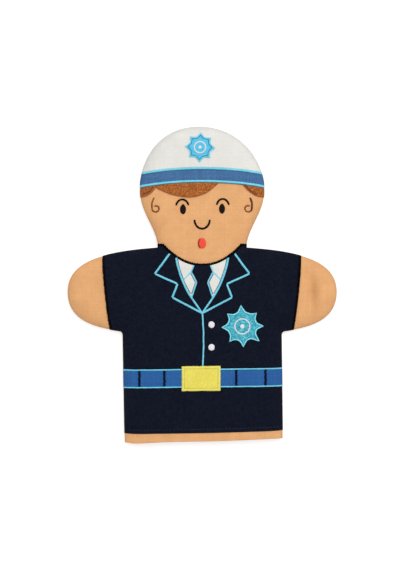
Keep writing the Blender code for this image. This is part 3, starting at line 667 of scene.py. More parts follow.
def panelSheet(facing):
    # The panel's face, rolled over at the seam and turned up inside at the hem; facing is 1 for the front
    radius, turn, allowance = panel["hemRadius"], panel["foldRadius"], panel["seamAllowance"]
    centre = panel["seamCentre"] if facing > 0 else panel["backCentre"]
    steep, blunt = panel["backShape"]
    outline = seam[::4] + [seam[-1]] + evenly(hemLine, panel["hemStep"])[1:-1]
    bm = filledShape(outline, panel["edgeStep"], (0.2, 0.25, 0.35), panel["lattice"])

    def faceHeight(x, y):
        if facing > 0:
            return layerHeight(x, y)
        share = min(max(seamDistance(x, y) / panel["backRoll"], 0), 1)
        rise = panel["backBumps"] * max(noise.noise((30 * x, 30 * y, 9.1)), 0) * share
        return centre * (1 - (1 - (1 - share) ** steep) ** blunt) + rise

    def hemDip(x, y):
        reach = abs(hemDistance(x, y))
        if reach >= radius or abs(seamDistance(x, y)) < allowance:
            return 0
        return radius - sqrt(radius ** 2 - (radius - reach) ** 2)

    bases = bm.verts.layers.float_vector.new("base")
    rim = bm.verts.layers.float.new("rim")
    for vert in bm.verts:
        x, y, _ = vert.co
        vert[bases] = (x, y, 0)
        # The rim attribute carries the painted shade along the seam and in the arm's crease
        vert[rim] = seamAndCreaseShade(x, y)
        vert.co.z = faceHeight(x, y) - facing * hemDip(x, y)
    if facing < 0:
        bmesh.ops.reverse_faces(bm, faces=bm.faces)
    rims = {"seam": [], "hem": []}
    for edge in [edge for edge in bm.edges if edge.is_boundary]:
        reach = [abs(seamDistance(vert[bases][0], vert[bases][1])) for vert in edge.verts]
        if max(reach) < 2e-5:
            rims["seam"].append(edge)
        elif min(reach) > allowance + panel["cloth"]:
            rims["hem"].append(edge)
    quarter = [(1 - cos(radians(a)), sin(radians(a))) for a in (30, 60, 90)]
    steps = {"seam": [(turn * near, turn * far) for near, far in quarter] + [(allowance, turn)],
             "hem": [(radius * near, radius * (1 + far)) for near, far in quarter]
             + [(panel["foldRow"], 2 * radius), (panel["hemFold"], 2 * radius)]}
    for word, edges in rims.items():
        for reach, drop in steps[word]:
            made = bmesh.ops.extrude_edge_only(bm, edges=edges)["geom"]
            fresh = [item for item in made if isinstance(item, bmesh.types.BMVert)]
            edges = [item for item in made if isinstance(item, bmesh.types.BMEdge) and item.is_boundary
                     and item.verts[0] in fresh and item.verts[1] in fresh]
            for vert in fresh:
                x, y, _ = vert[bases]
                if word == "seam":
                    i = seamIndex.find((x, y, 0))[1]
                    vert.co = (x + reach * inward[i][0], y + reach * inward[i][1], centre - facing * drop)
                else:
                    x, y = x + reach * upHem[0], y + reach * upHem[1]
                    vert.co = (x, y, faceHeight(x, y) - facing * drop)
    return bm


for name, node, facing in (("frontCloth", "front_panel", 1), ("backCloth", "back_panel", -1)):
    cloth = madePiece(name, panelSheet(facing), "tanCloth", [node], panel["cloth"])

# Cap
cap = {"height": 0.0372, "band": 0.0112, "bow": 0.0045, "edging": 0.0020, "shade": 0.0006, "shadeShift": 0.56}
capBadge = {
    "shift": -0.0019, "lift": 0.0183, "waist": 0.0096, "hollow": 2.1,
    "tips": [(87, 0.0132), (42, 0.0128), (-3, 0.0132), (-48, 0.0127), (-93, 0.0132), (-138, 0.0128), (-183, 0.0131),
             (-228, 0.0128)],
    "lattice": 0.0012, "rim": 0.0012, "rimRise": 0.0007, "inset": 0.0012, "inner": 0.0007, "narrow": (0.0, 0.0),
    "ringRadius": 0.0056, "ringWidth": 0.0013, "dotRadius": 0.0014, "dotLattice": 0.0006, "dotRoll": 0.0012,
    "seeds": (7, 8, 9),
}


def bandTop(x):
    return puppetHeight - cap["height"] - cap["bow"] * (x / headSide) ** 2


def bandLine(below, above):
    # Left to right across the head, out to where the layer turns round the seam
    left, right = (seamCut(lambda x, y: y < bandTop(x) - below, crownIndex, last) for last in (0, len(seam) - 1))
    start, end = seamPoint(left, above), seamPoint(right, above)
    between = [start[0] + (end[0] - start[0]) * k / 80 for k in range(1, 80)]
    return left, [start] + [(x, bandTop(x) - below) for x in between] + [end], right


def star(centre, badge, grow=0.0, steps=12):
    # Points joined by hollow sides; each tip is its angle in degrees and its reach, going clockwise
    outline, tips = [], badge["tips"]
    for (a, reachA), (b, reachB) in zip(tips, tips[1:] + tips[:1]):
        sweep = (a - b) % 360
        for step in range(steps):
            t = step / steps
            rise = abs(2 * t - 1) ** badge["hollow"]
            reach = reachA if t < 0.5 else reachB
            radius = badge["waist"] + (reach - badge["waist"]) * rise + grow * (1 + rise)
            angle = radians(a - sweep * t)
            outline.append((centre[0] + radius * cos(angle), centre[1] + radius * sin(angle)))
    return outline


def starSides(centre, badge, grow):
    # The hollow sides as separate lines from tip to tip
    outline = star(centre, badge, grow, 24)
    return [[outline[(24 * k + j) % len(outline)] for j in range(25)] for k in range(len(badge["tips"]))]


def stitchedBadge(name, node, centre, badge, filling, rim, rimName, rimNodes):
    # The filling with its rim, a thin line inside that, a ring and a dot
    first, second, third = layers["first"], layers["second"], layers["third"]
    clothPatch(name, [node], star(centre, badge), None, second, filling, base=first, step=0.0004,
               lattice=badge["lattice"], roll=0.0009, rings=(0.15, 0.2))
    satinLine(name + rimName, rimNodes, starSides(centre, badge, -0.0003), badge["rim"], first + 0.0003,
              badge["rimRise"], rim, seed=badge["seeds"][0], taper=0.3, narrow=badge["narrow"][0])
    satinLine(name + "Inner", [], starSides(centre, badge, -badge["inset"]), badge["inner"], second, 0.0002,
              "capBadgeLine", seed=badge["seeds"][1], taper=0.3, narrow=badge["narrow"][1])
    radius = badge["ringRadius"] - badge["ringWidth"] / 2
    satinLine(name + "Ring", [node + "_ring"], [arc(centre, radius, radius, 0, 360, 60)], badge["ringWidth"], second,
              0.0006, "whiteThread", seed=badge["seeds"][2])
    dot = arc(centre, badge["dotRadius"], badge["dotRadius"], 0, 360 - 360 / 24, 23)
    clothPatch(name + "Dot", [node + "_dot"], dot, None, third, "buttonThread", base=second, step=0.0003,
               lattice=badge["dotLattice"], roll=badge["dotRoll"], rings=(0.3, 0.3), thickness=0.0003)


first, second, third = layers["first"], layers["second"], layers["third"]
left, line, right = bandLine(0, first)
clothPatch("capCrown", ["cap_crown"], line + alongSeam(right, left, first), [line], first, "whiteCloth",
           laidOn="frontCloth")
lowLeft, lowLine, lowRight = bandLine(cap["band"], first)
outline = line + alongSeam(right, lowRight, first) + lowLine[::-1] + alongSeam(lowLeft, left, first)
clothPatch("capBand", ["cap_band"], outline, [line, lowLine], first, "capBlueCloth", laidOn="frontCloth")
for word, below, seed in (("Upper", 0, 3), ("Lower", cap["band"], 4)):
    path = bandLine(below, second)[1]
    satinLine("capEdging" + word, ["cap_band_" + word.lower() + "_edging"], [path], cap["edging"], first, 0.0007,
              "cyanThread", seed=seed, slant=0.3)
    shade = beside(path, cap["shadeShift"] * cap["edging"])
    satinLine("capEdgingShade" + word, [], [shade], cap["shade"], first, 0.00025, "tealThread", seed=seed + 20)
middle = (capBadge["shift"], puppetHeight - cap["height"] + capBadge["lift"])
stitchedBadge("capBadge", "cap_badge", middle, capBadge, "capBadgeThread", "cyanThread", "Rim", [])
print("cap made")

# Hair
hair = {"sideDrop": 0.0622, "leftReach": 0.0143, "rightReach": 0.0196, "fringeEnd": 0.0155, "fringeDrop": 0.0624,
        "fringe": ((0, 0.0078), (0.24, 0.0023), (0.53, 0), (0.78, 0.0038)),  # share of its width, and rise
        "sideCurve": 2.3, "sideGap": (0.0017, 0), "rim": 0.0010, "arc": 0.0008, "arcInset": (0.0018, -0.0011),
        "arcPart": (slice(2, 20), slice(1, 16)), "gap": 0.0003}


def hairTop(x):
    return bandTop(x) - cap["band"] - hair["gap"]


for side, word, reach, seed in ((-1, "Left", hair["leftReach"], 11), (1, "Right", hair["rightReach"], 12)):
    inner = headSide - reach
    bottom = puppetHeight - hair["sideDrop"]
    top = hairTop(inner) - hair["sideGap"][side > 0]
    curve = [(side * (inner + reach * k / 24), bottom + (top - bottom) * (1 - k / 24) ** hair["sideCurve"])
             for k in range(25)]
    last = len(seam) - 1 if side > 0 else 0
    lowEnd = seamCut(lambda x, y: y < bottom, crownIndex, last)
    highEnd = seamCut(lambda x, y: y < hairTop(x), crownIndex, last)
    under = [(x, hairTop(x)) for x in (side * (inner + (headSide - inner) * k / 12) for k in range(13))
             if abs(x) < abs(seam[highEnd][0])]
    outline = curve[:-1] + alongSeam(lowEnd, highEnd, first) + under[::-1]
    clothPatch("hairSide" + word, ["hair_side_" + word.lower()], outline, [curve, under], first, "hairThread",
               step=0.0006, lattice=0.0015)
    satinLine("hairSideRim" + word, [], [curve], hair["rim"], 0.0003, 0.0008, "hairRimThread", seed=seed)
    inside = beside(curve, hair["arcInset"][side > 0])[hair["arcPart"][side > 0]]
    satinLine("hairSideArc" + word, [], [inside], hair["arc"], first, 0.0003, "hairDarkThread", seed=seed + 5,
              jag=0.0002)
start = hair["leftReach"] - headSide + hair["gap"]
span = hair["fringeEnd"] - start
low = puppetHeight - hair["fringeDrop"]
edge = smoothThrough([(start + share * span, low + rise) for share, rise in hair["fringe"]]
                     + [(hair["fringeEnd"], hairTop(hair["fringeEnd"]))])
top = [(x, hairTop(x)) for x in (start + span * k / 30 for k in range(31))]
clothPatch("hairFringe", ["hair_fringe"], edge[:-1] + top[::-1], [edge, top], first, "hairThread", step=0.0006,
           lattice=0.0015)
parting = [(start - hair["gap"] / 2, hairTop(start) - 0.0006), (start - hair["gap"] / 2, low + 0.0080)]
satinLine("hairParting", [], [parting], hair["arc"], 0.0005, 0.0005, "hairDarkThread", seed=14)
satinLine("hairFringeRim", [], [edge], hair["rim"], 0.0003, 0.0008, "hairRimThread", seed=15)
print("hair made")

# Face
face = {"line": 0.0017, "noseLine": 0.0018, "curlLine": 0.0013, "eyeDrop": 0.0728, "eyeSpacing": 0.0344,
        "eyeWidth": 0.0053, "eyeHeight": 0.0086, "eyeShift": ((0.0004, -0.0005), (0.0002, 0)), "browLift": 0.0026,
        "browWidth": 0.0110, "browRise": 0.0067, "browShift": ((-0.0003, -0.0011), (0.0009, -0.0007)),
        "noseDrop": 0.0823, "noseWidth": 0.0134, "noseDepth": 0.0079, "mouthDrop": 0.1031, "mouthWidth": 0.0067,
        "mouthHeight": 0.0093, "curlInset": (0.0140, 0.0143), "curlDrop": 0.0725, "curlRadius": 0.0034,
        "curlStem": 0.0050, "stemTop": (0.50, 0.0012), "stemBend": (1.02, 0.6, 0.5), "curlShade": 0.0017,
        "lip": 0.0009}


def softOval(centre, width, height, point=0.0):
    # An oval whose top may be drawn to a point
    shape = []
    for k in range(40):
        a = 2 * pi * k / 40
        narrow = 1 - point * max(sin(a), 0) ** 2
        longer = 1 + 0.4 * point * (max(sin(a), 0) ** 6)
        shape.append((centre[0] + width / 2 * cos(a) * narrow, centre[1] + height / 2 * sin(a) * longer))
    return shape


for side, word in ((-1, "Left"), (1, "Right")):
    eye = (side * face["eyeSpacing"] / 2 + face["eyeShift"][side > 0][0],
           puppetHeight - face["eyeDrop"] + face["eyeShift"][side > 0][1])
    shape = softOval(eye, face["eyeWidth"], face["eyeHeight"], 0.18)
    clothPatch("eye" + word, ["eye_" + word.lower()], shape, None, first, "eyeThread", roll=0.0022, **smallFilling)
    shift = face["browShift"][side > 0]
    middle = (side * face["eyeSpacing"] / 2 + shift[0], puppetHeight - face["eyeDrop"] + shift[1] + face["browLift"])
    brow = arc(middle, face["browWidth"] / 2, face["browRise"], 12, 168, 24)
    satinLine("brow" + word, ["brow_" + word.lower()], [brow], face["line"], 0.0001, 0.0008, "lineThread",
              seed=21 + side, wander=0.0002, jag=0.00012)
    curl = (side * (headSide - face["curlInset"][side > 0]), puppetHeight - face["curlDrop"])
    radius = face["curlRadius"]
    loop = [(curl[0] + side * r * cos(a), curl[1] - r * sin(a)) for a, r in (
        (radians(10 + 12 * k), radius * (1 - 0.014 * k)) for k in range(26))]
    (topOut, topRise), (bendOut, bendUp, bendStem) = face["stemTop"], face["stemBend"]
    stem = smoothThrough([
        (curl[0] + side * topOut * radius, curl[1] + radius + face["curlStem"] + topRise),
        (curl[0] + side * bendOut * radius, curl[1] + bendUp * radius + bendStem * face["curlStem"]), loop[0]], 8)
    satinLine("earCurl" + word, ["ear_curl_" + word.lower()], [stem[:-1] + loop], face["curlLine"], 0.0001, 0.0007,
              "curlThread", seed=25 + side, wander=0.00025, jag=0.00018)
satinLine("earCurlShade", [], [stem + loop[:4]], face["curlShade"], 0.0004, 0.0006, "hairDarkThread", seed=27,
          wander=0.0002, jag=0.0002)
nose = arc((0, puppetHeight - face["noseDrop"]), face["noseWidth"] / 2, face["noseDepth"], 180, 360, 30)
satinLine("noseLine", ["nose"], [nose], face["noseLine"], 0.0001, 0.0008, "lineThread", seed=28, jag=0.00012)
shape = softOval((0, puppetHeight - face["mouthDrop"]), face["mouthWidth"], face["mouthHeight"])
clothPatch("mouthFill", ["mouth"], shape, None, first + 0.0001, "redThread", roll=0.0024, **smallFilling)
lip = [p for p in shape if p[0] < -0.0012][::-1]
satinLine("mouthShade", [], [lip], face["lip"], first - 0.0001, 0.0004, "redEdgeThread", seed=29, taper=1.2)
print("face stitched")

# Jacket
jacket = {"necklineDrop": 0.0151, "collarRise": 0.0025, "collarReach": 0.0344, "collarCurve": 2.1,
          "binding": 0.0017, "bareArmTop": 0.0309, "bareArmBottom": 0.0391, "cuffBeyond": 0.006, "cuffBow": 0.0015,
          "cuffBinding": 0.0021, "cuffInset": (0.0003, 0.0012), "hem": 0.0108, "tilt": 0.0218, "hemBow": 0.0006,
          "stitchRise": 0.0034, "stitchLength": 0.0026, "stitchWidth": 0.0005}


def jacketEdge(x):
    return jacket["hem"] + jacket["tilt"] * x - jacket["hemBow"] * (1 - (x / bodySide) ** 2)


def cuffReach(y):
    # The cuff's distance from the middle, on a bowed line a little longer than the arm is wide
    low, high = bodyHeight - panel["armpitDrop"] - jacket["cuffBeyond"], bodyHeight + jacket["cuffBeyond"]
    t = (y - low) / (high - low)
    top, bottom = panel["armReach"] - jacket["bareArmTop"], panel["armReach"] - jacket["bareArmBottom"]
    return bottom + (top - bottom) * t + 4 * jacket["cuffBow"] * t * (1 - t)


def necklineAt(x):
    low, rise = bodyHeight - jacket["necklineDrop"], jacket["necklineDrop"] + jacket["collarRise"]
    return low + rise * abs(x / jacket["collarReach"]) ** jacket["collarCurve"]


def neckline():
    return [(x, necklineAt(x)) for x in (jacket["collarReach"] * k / 40 for k in range(-40, 41))]


collarTop = bodyHeight + jacket["collarRise"]
underarm = bodyHeight - panel["armpitDrop"] - 0.001
tip = {side: max(range(len(seam)), key=lambda i: side * seam[i][0]) for side in (-1, 1)}
halves = {-1: (0, crownIndex), 1: (len(seam) - 1, crownIndex)}
marks = {}
for side in (-1, 1):
    corner = halves[side][0]
    marks[side] = {
        "hem": seamCut(lambda x, y: y > jacketEdge(x), corner, crownIndex),
        "under": seamCut(lambda x, y: y > underarm and abs(x) > cuffReach(y), corner, tip[side]),
        "over": seamCut(lambda x, y: abs(x) < cuffReach(y), tip[side], crownIndex),
        "collar": seamCut(lambda x, y: y > collarTop, tip[side], crownIndex),
    }


def cuffLine(side, above):
    # From under the arm to over it
    under, over = seamPoint(marks[side]["under"], above), seamPoint(marks[side]["over"], above)
    heights = [under[1] + (over[1] - under[1]) * k / 40 for k in range(1, 40)]
    return [under] + [(side * cuffReach(y), y) for y in heights] + [over]


def collarLine(above):
    return [seamPoint(marks[-1]["collar"], above)] + neckline() + [seamPoint(marks[1]["collar"], above)]


def hemEdge(above, lift=0.0):
    left, right = (seamPoint(marks[side]["hem"], above)[0] for side in (-1, 1))
    return [(x, jacketEdge(x) + lift) for x in (left + (right - left) * k / 80 for k in range(81))]


leftCuff, rightCuff = cuffLine(-1, first), cuffLine(1, first)
collar, bottom = collarLine(first), hemEdge(first)
outline = (alongSeam(marks[-1]["hem"], marks[-1]["under"], first) + leftCuff
           + alongSeam(marks[-1]["over"], marks[-1]["collar"], first) + collar
           + alongSeam(marks[1]["collar"], marks[1]["over"], first) + rightCuff[::-1]
           + alongSeam(marks[1]["under"], marks[1]["hem"], first) + bottom[::-1])
clothPatch("jacketCloth", ["jacket"], outline, [leftCuff, rightCuff, collar, bottom], first, "navyCloth", step=0.001,
           laidOn="frontCloth")
satinLine("collarBinding", ["collar_binding"], [collarLine(second)], jacket["binding"], 0.0006, 0.0010, "blackThread",
          seed=31, scallop=0.00042, jag=0.0002)
for side, word, seed in ((-1, "Left", 32), (1, "Right", 33)):
    cuff = [(x - side * jacket["cuffInset"][side > 0], y) for x, y in cuffLine(side, second)]
    satinLine("cuffBinding" + word, ["cuff_binding_" + word.lower()], [cuff], jacket["cuffBinding"], 0.0007, 0.0009,
              "blackThread", seed=seed, jag=0.00034)
edge = evenly(hemEdge(first, jacket["stitchRise"]), jacket["stitchLength"] / 4)
rows = [edge[k:k + 5] for k in range(6, len(edge) - 8, 5)]  # four parts of a stitch and one of cloth
satinLine("jacketHemStitches", [], rows, jacket["stitchWidth"], first, 0.00016, "navyThread", seed=35, taper=0.8,
          pitch=0.0008, jag=0.0, wander=0.0)
print("jacket made")

# Lapels, collar, shirt and tie; each point is the distance from the middle and down from the shoulder
lapel = {
    "lapel": ((0.0254, 0.0010), (0.0415, 0.0228), (0.0216, 0.0318), (0.0262, 0.0436), (0, 0.0574)),
    "roll": ((0.0238, 0.0040), (0.0206, 0.0190), (0.0136, 0.0367), (0, 0.0574)),
    "tie": ((0.0058, 0.0120), (0.0096, 0.0213), (0.0048, 0.0303), (0.0092, 0.0435)),
    "point": (0.0178, 0.0295), "knot": (0.0069, 0.0149), "edging": 0.0019, "tieEdging": 0.0014, "shade": 0.0006,
    "collarInside": 0.0074, "collarOutside": 0.0225, "collarDrop": 0.0010,
}


def trimmed(path, gap=0.0009):
    # What of a line lies under the neckline
    return [p for p in path if p[1] < necklineAt(p[0]) - gap]


shirtBase, shirtTop = first - 0.0004, second - 0.0003  # the shirt and tie lie a little lower than the edgings
tieSides = []
for side, word in ((-1, "Left"), (1, "Right")):
    def place(point):
        return (side * point[0], bodyHeight - point[1])

    def lapelLine(title, node, runs, width, seed, slant=0.0):
        satinLine(title + word, [node + lower], runs, width, first, 0.0008, "cyanThread", seed=seed + side,
                  taper=0.35, slant=slant)

    lower = word.lower()
    outer = [place(p) for p in lapel["lapel"]]
    runs = [evenly([a, b], 0.0004) for a, b in zip(outer, outer[1:])]
    runs[0] = trimmed(runs[0], 0.0018)
    lapelLine("lapelEdging", "lapel_edging_", runs, lapel["edging"], 41, 0.4)
    roll = trimmed(evenly(smoothThrough([place(p) for p in lapel["roll"]]), 0.0004))
    lapelLine("lapelFold", "lapel_fold_", [roll], lapel["edging"], 45, 0.4)
    tie = [place(p) for p in lapel["tie"]]
    runs = [evenly([a, b], 0.0004) for a, b in zip(tie, tie[1:])]
    runs[0] = trimmed(runs[0])
    lapelLine("tieEdging", "tie_edging_", runs, lapel["tieEdging"], 49)
    point = place(lapel["point"])
    lapelLine("collarEdging", "collar_edging_", [evenly([tie[1], point], 0.0004)], lapel["tieEdging"], 53)
    rollPath = evenly(smoothThrough([place(p) for p in lapel["roll"]]), 0.0006)
    rollAt = min(rollPath, key=lambda p: abs(p[1] - point[1]))
    point = (side * min(side * point[0], side * rollAt[0] - 0.0001), point[1])
    rollReach = {round(2000 * (bodyHeight - y)): side * x for x, y in rollPath}  # by the half millimetre
    under = [(x, y - lapel["collarDrop"]) for x, y in neckline() if lapel["collarInside"] < side * x < rollReach.get(
        round(2000 * (bodyHeight - y + lapel["collarDrop"])), lapel["collarOutside"]) - 0.0003]
    under = under if side > 0 else under[::-1]
    upper = under + [p for p in rollPath if point[1] < p[1] < under[-1][1] - 0.0003] + [point, tie[1]]
    clothPatch("shirtCollar" + word, ["shirt_collar_" + lower], upper, None, shirtTop, "whiteCloth", base=shirtBase,
               step=0.0005, lattice=0.0015)
    front = [tie[1], point] + [p for p in rollPath if point[1] > p[1] > tie[3][1]] + [tie[3], tie[2]]
    clothPatch("shirtFront" + word, ["shirt_front_" + lower], front, None, shirtTop, "whiteCloth", base=shirtBase,
               step=0.0005, lattice=0.0015)
    inside = [beside(trimmed([p for p in rollPath if p[1] > tie[3][1] + 0.0020]), side * 0.0012)]
    inside += [beside(runs[1][3:-1], -side * 0.0010), beside(runs[2][1:-6], -side * 0.0010)]
    satinLine("shirtShade" + word, [], inside, lapel["shade"], shirtTop, 0.0003, "tealThread", seed=57 + side)
    tieSides.append([place(lapel["knot"])] + tie[1:] + [p for p in rollPath if p[1] < tie[3][1]])
outline = tieSides[0] + tieSides[1][::-1][1:]
clothPatch("tieCloth", ["tie"], outline, None, shirtTop, "navyCloth", base=shirtBase, step=0.0006, lattice=0.0018)
print("collar and tie made")

# Front edging, buttons and chest badge
chest = {"meet": 0.0574, "shift": 0.0006, "edging": 0.0015, "buttonShift": 0.0082, "button": 0.0055,
         "buttons": (0.206, 0.614), "badgeShift": 0.0352, "badgeDrop": 0.0690,
         "sway": ((0.0010, 0.070), (0.0012, 0.088)), "tuck": 0.0012}
chestBadge = {
    "waist": 0.0128, "hollow": 3.0,
    "tips": [(94, 0.0190), (43, 0.0177), (1, 0.0190), (-41, 0.0202), (-87, 0.0185), (-130, 0.0179), (-177, 0.0187),
             (-220, 0.0177)],
    "lattice": 0.0014, "rim": 0.0014, "rimRise": 0.0010, "inset": 0.0013, "inner": 0.0005, "narrow": (0.55, 0.5),
    "ringRadius": 0.0072, "ringWidth": 0.0013, "dotRadius": 0.0019, "dotLattice": 0.0007, "dotRoll": 0.0014,
    "seeds": (63, 65, 64),
}
belt = {
    "height": 0.0586, "width": 0.0165, "tilt": 0.0114, "edging": 0.0012, "loops": (-0.0550, -0.0331, 0.0299, 0.0556),
    "loopWidth": 0.0022, "loopSwing": 0.00014, "loopTurns": 6, "buckleShift": -0.0009, "buckleDrop": 0.0003,
    "buckleWidth": 0.0342, "buckleHeight": 0.0220, "border": 0.0026, "groove": 0.0004, "tuck": 0.0006,
}
path = smoothThrough([(x, bodyHeight - drop) for x, drop in ((0, chest["meet"]), *chest["sway"])]
                     + [(chest["shift"], belt["height"] + belt["buckleHeight"] / 2 - chest["tuck"])])
satinLine("frontEdging", ["placket_edging"], [path], chest["edging"], first, 0.0008, "cyanThread", seed=61, taper=0.3,
          wander=0.0003)
front = bodyHeight - belt["height"] - belt["width"] / 2 - chest["meet"]
for word, share in (("upper", chest["buttons"][0]), ("lower", chest["buttons"][1])):
    centre = (chest["buttonShift"], bodyHeight - chest["meet"] - share * front)
    shape = []
    for a in (2 * pi * k / 32 for k in range(32)):
        uneven = chest["button"] / 2 * (1 + 0.06 * noise.noise((3 * cos(a), 3 * sin(a), share * 9)))
        shape.append((centre[0] + uneven * cos(a), centre[1] + 1.08 * uneven * sin(a)))
    clothPatch("button" + word.capitalize(), ["button_" + word], shape, None, second + 0.0004, "buttonThread",
               base=first, roll=0.0024, **smallFilling)
middle = (chest["badgeShift"], bodyHeight - chest["badgeDrop"])
stitchedBadge("chestBadge", "chest_badge", middle, chestBadge, "badgeThread", "brightThread", "Edging",
              ["chest_badge_edging"])
print("badge made")


# Belt
def beltLine(lift, above, start=None, end=None):
    # Left to right at a height above the belt's middle
    def height(x):
        return belt["height"] + belt["tilt"] * x + lift

    left = seamCut(lambda x, y: y > height(x), 0, crownIndex)
    right = seamCut(lambda x, y: y > height(x), len(seam) - 1, crownIndex)
    start = seamPoint(left, above)[0] if start is None else start
    end = seamPoint(right, above)[0] if end is None else end
    return left, [(x, height(x)) for x in (start + (end - start) * k / 60 for k in range(61))], right


half = belt["width"] / 2
lowLeft, lowLine, lowRight = beltLine(-half, second)
highLeft, highLine, highRight = beltLine(half, second)
outline = lowLine + alongSeam(lowRight, highRight, second) + highLine[::-1] + alongSeam(highLeft, lowLeft, second)
clothPatch("beltCloth", ["belt"], outline, [lowLine, highLine], second, "beltBlueCloth", base=first,
           laidOn="jacketCloth")
buckleLeft = belt["buckleShift"] - belt["buckleWidth"] / 2
buckleRight = belt["buckleShift"] + belt["buckleWidth"] / 2
runs = (("left", None, buckleLeft + belt["tuck"], 71), ("right", buckleRight - belt["tuck"], None, 73))
for word, lift in (("upper", half - belt["edging"] / 2), ("lower", belt["edging"] / 2 - half)):
    for part, start, end, seed in runs:
        satinLine("beltEdging" + word.capitalize() + part.capitalize(), [f"belt_edging_{word}_{part}"],
                  [beltLine(lift, third, start, end)[1]], belt["edging"], second, 0.0007, "cyanThread",
                  seed=seed + (word == "lower"), taper=0.3)
reach, turns = half - belt["edging"], belt["loopTurns"]
for number, x in enumerate(belt["loops"], 1):
    zigzag = smoothThrough([(x + belt["loopSwing"] * (-1) ** k, belt["height"] + belt["tilt"] * x
                             + reach * (2 * k / turns - 1)) for k in range(turns + 1)], 5)
    satinLine(f"beltLoop{number}", [f"belt_loop_{number}"], [zigzag], belt["loopWidth"], second, 0.0006, "loopThread",
              seed=75 + number, jag=0.0002, taper=0.15)


def buckleRing(inset):
    # Corners of the buckle, the given distance in from its edge
    low, high = inset - belt["buckleHeight"] / 2, belt["buckleHeight"] / 2 - inset
    corners = [(buckleLeft + inset, low), (buckleRight - inset, low), (buckleRight - inset, high),
               (buckleLeft + inset, high)]
    return [(x, belt["height"] - belt["buckleDrop"] + belt["tilt"] * x + lift) for x, lift in corners]


corners = buckleRing(belt["border"] - 0.0002)
clothPatch("buckleFill", ["buckle"], corners, None, third, "yellowThread", base=second, step=0.0006, lattice=0.002,
           roll=0.0008)
reach = belt["border"] / 2
corners, sides = buckleRing(reach), []
for a, b in zip(corners, corners[1:] + corners[:1]):
    long = hypot(b[0] - a[0], b[1] - a[1])
    u = ((b[0] - a[0]) / long * reach, (b[1] - a[1]) / long * reach)
    sides.append([(a[0] - u[0], a[1] - u[1]), (b[0] + u[0], b[1] + u[1])])
satinLine("buckleEdging", ["buckle_edging"], sides, belt["border"], second, 0.0009, "yellowRim", seed=81, taper=0.12,
          jag=0.00014)
corners = buckleRing(belt["border"] + 0.0001)
satinLine("buckleGroove", [], [[a, b] for a, b in zip(corners, corners[1:] + corners[:1])], belt["groove"],
          third - 0.0002, 0.0002, "oliveThread", seed=82)
print("belt made")

# Hem stitching of the back panel
hemStitches = {"rise": 0.0105, "length": 0.0030, "width": 0.0005, "inset": 0.004}
ends = [(point[0] + inset, point[1] + hemStitches["rise"]) for point, inset in (
    (seam[0], hemStitches["inset"]), (seam[-1], -hemStitches["inset"]))]
backRow = evenly(ends, hemStitches["length"] / 4)
bm = bmesh.new()
stitchLayer = bm.verts.layers.float_vector.new("stitch")
for k in range(0, len(backRow) - 5, 5):
    a, b = backRow[k], backRow[k + 4]
    grid = bmesh.ops.create_grid(bm, x_segments=6, y_segments=6, size=1)["verts"]
    for vert in grid:
        t, turn = (vert.co.x + 1) / 2, pi * (vert.co.y + 1)
        thick = sin(pi * t) ** 0.5 if 0 < t < 1 else 0
        vert.co = (a[0] + t * (b[0] - a[0]), a[1] + t * (b[1] - a[1]) + hemStitches["width"] / 2 * cos(turn) * thick,
                   0.00008 + 0.00007 * sin(turn) * thick)
        vert[stitchLayer] = (t * hemStitches["length"], 0, 0)
    bmesh.ops.remove_doubles(bm, verts=grid, dist=1e-6)
bmesh.ops.recalc_face_normals(bm, faces=bm.faces)
madePiece("backHemStitches", bm, "seamThread")
print("hem stitched")

# Floor, light and camera
stage = {"floorSize": 3.0, "floorDrop": 0.0002, "floorColour": (0.72, 0.72, 0.72, 1), "floorGlow": 0.52,
         "keyPower": 14.6, "keySize": 1.3, "keyPlace": (0.32, 0.65, 1.58), "fill": 0.64,
         "camera": (-0.0019, 0.0003, 1.4015), "focal": 100.0}


def seenByCamera(tree):
    # 1 for rays that the camera, a shiny surface or a clear one sends out, 0 for soft light
    path = put(tree, 'ShaderNodeLightPath').outputs
    return math(tree, 'MAXIMUM', path["Is Camera Ray"], math(
        tree, 'MAXIMUM', path["Is Glossy Ray"], path["Is Transmission Ray"]))


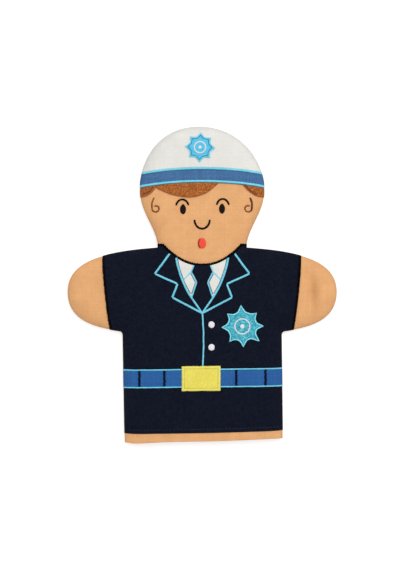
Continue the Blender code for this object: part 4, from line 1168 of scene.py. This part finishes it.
bm = bmesh.new()
bmesh.ops.create_grid(bm, x_segments=2, y_segments=2, size=stage["floorSize"] / 2)
mesh = bpy.data.meshes.new("floor")
bmesh.ops.translate(bm, verts=bm.verts, vec=(0, 0, -stage["floorDrop"]))
bm.to_mesh(mesh)
bm.free()
floor = bpy.data.objects.new("floor", mesh)
bpy.context.scene.collection.objects.link(floor)
finish = bpy.data.materials.new("paleFloor")
finish.use_nodes = True
tree = finish.node_tree
surface = tree.nodes["Principled BSDF"]
surface.inputs["Base Color"].default_value = stage["floorColour"]
surface.inputs["Roughness"].default_value = 1.0
surface.inputs["Specular IOR Level"].default_value = 0.0
glow = put(tree, 'ShaderNodeEmission', {"Color": (1, 1, 1, 1), "Strength": math(
    tree, 'MULTIPLY', seenByCamera(tree), stage["floorGlow"])})
both = put(tree, 'ShaderNodeAddShader', {0: surface.outputs[0], 1: glow.outputs[0]})
tree.links.new(both.outputs[0], tree.nodes["Material Output"].inputs["Surface"])
mesh.materials.append(finish)

world = bpy.data.worlds.new("studio")
bpy.context.scene.world = world
world.use_nodes = True
tree = world.node_tree
soft = tree.nodes["Background"]
soft.inputs["Color"].default_value = (1, 1, 1, 1)
soft.inputs["Strength"].default_value = stage["fill"]
white = put(tree, 'ShaderNodeBackground', {"Color": (1, 1, 1, 1), "Strength": 1.0})
both = put(tree, 'ShaderNodeMixShader', {0: seenByCamera(tree), 1: soft.outputs[0], 2: white.outputs[0]})
tree.links.new(both.outputs[0], tree.nodes["World Output"].inputs["Surface"])

lamp = bpy.data.lights.new("softKey", 'AREA')
lamp.shape = 'SQUARE'
lamp.size = stage["keySize"]
lamp.energy = stage["keyPower"]
key = bpy.data.objects.new("softKey", lamp)
key.location = stage["keyPlace"]
key.rotation_euler = (Vector((0, 0, 0)) - key.location).to_track_quat('-Z', 'Y').to_euler()
bpy.context.scene.collection.objects.link(key)

lens = bpy.data.cameras.new("camera")
lens.lens = stage["focal"]
lens.sensor_width = 36
lens.clip_start = 0.05
camera = bpy.data.objects.new("camera", lens)
camera.location = stage["camera"]
bpy.context.scene.collection.objects.link(camera)
bpy.context.scene.camera = camera
bpy.context.scene.view_settings.view_transform = 'Standard'

print("scene made")
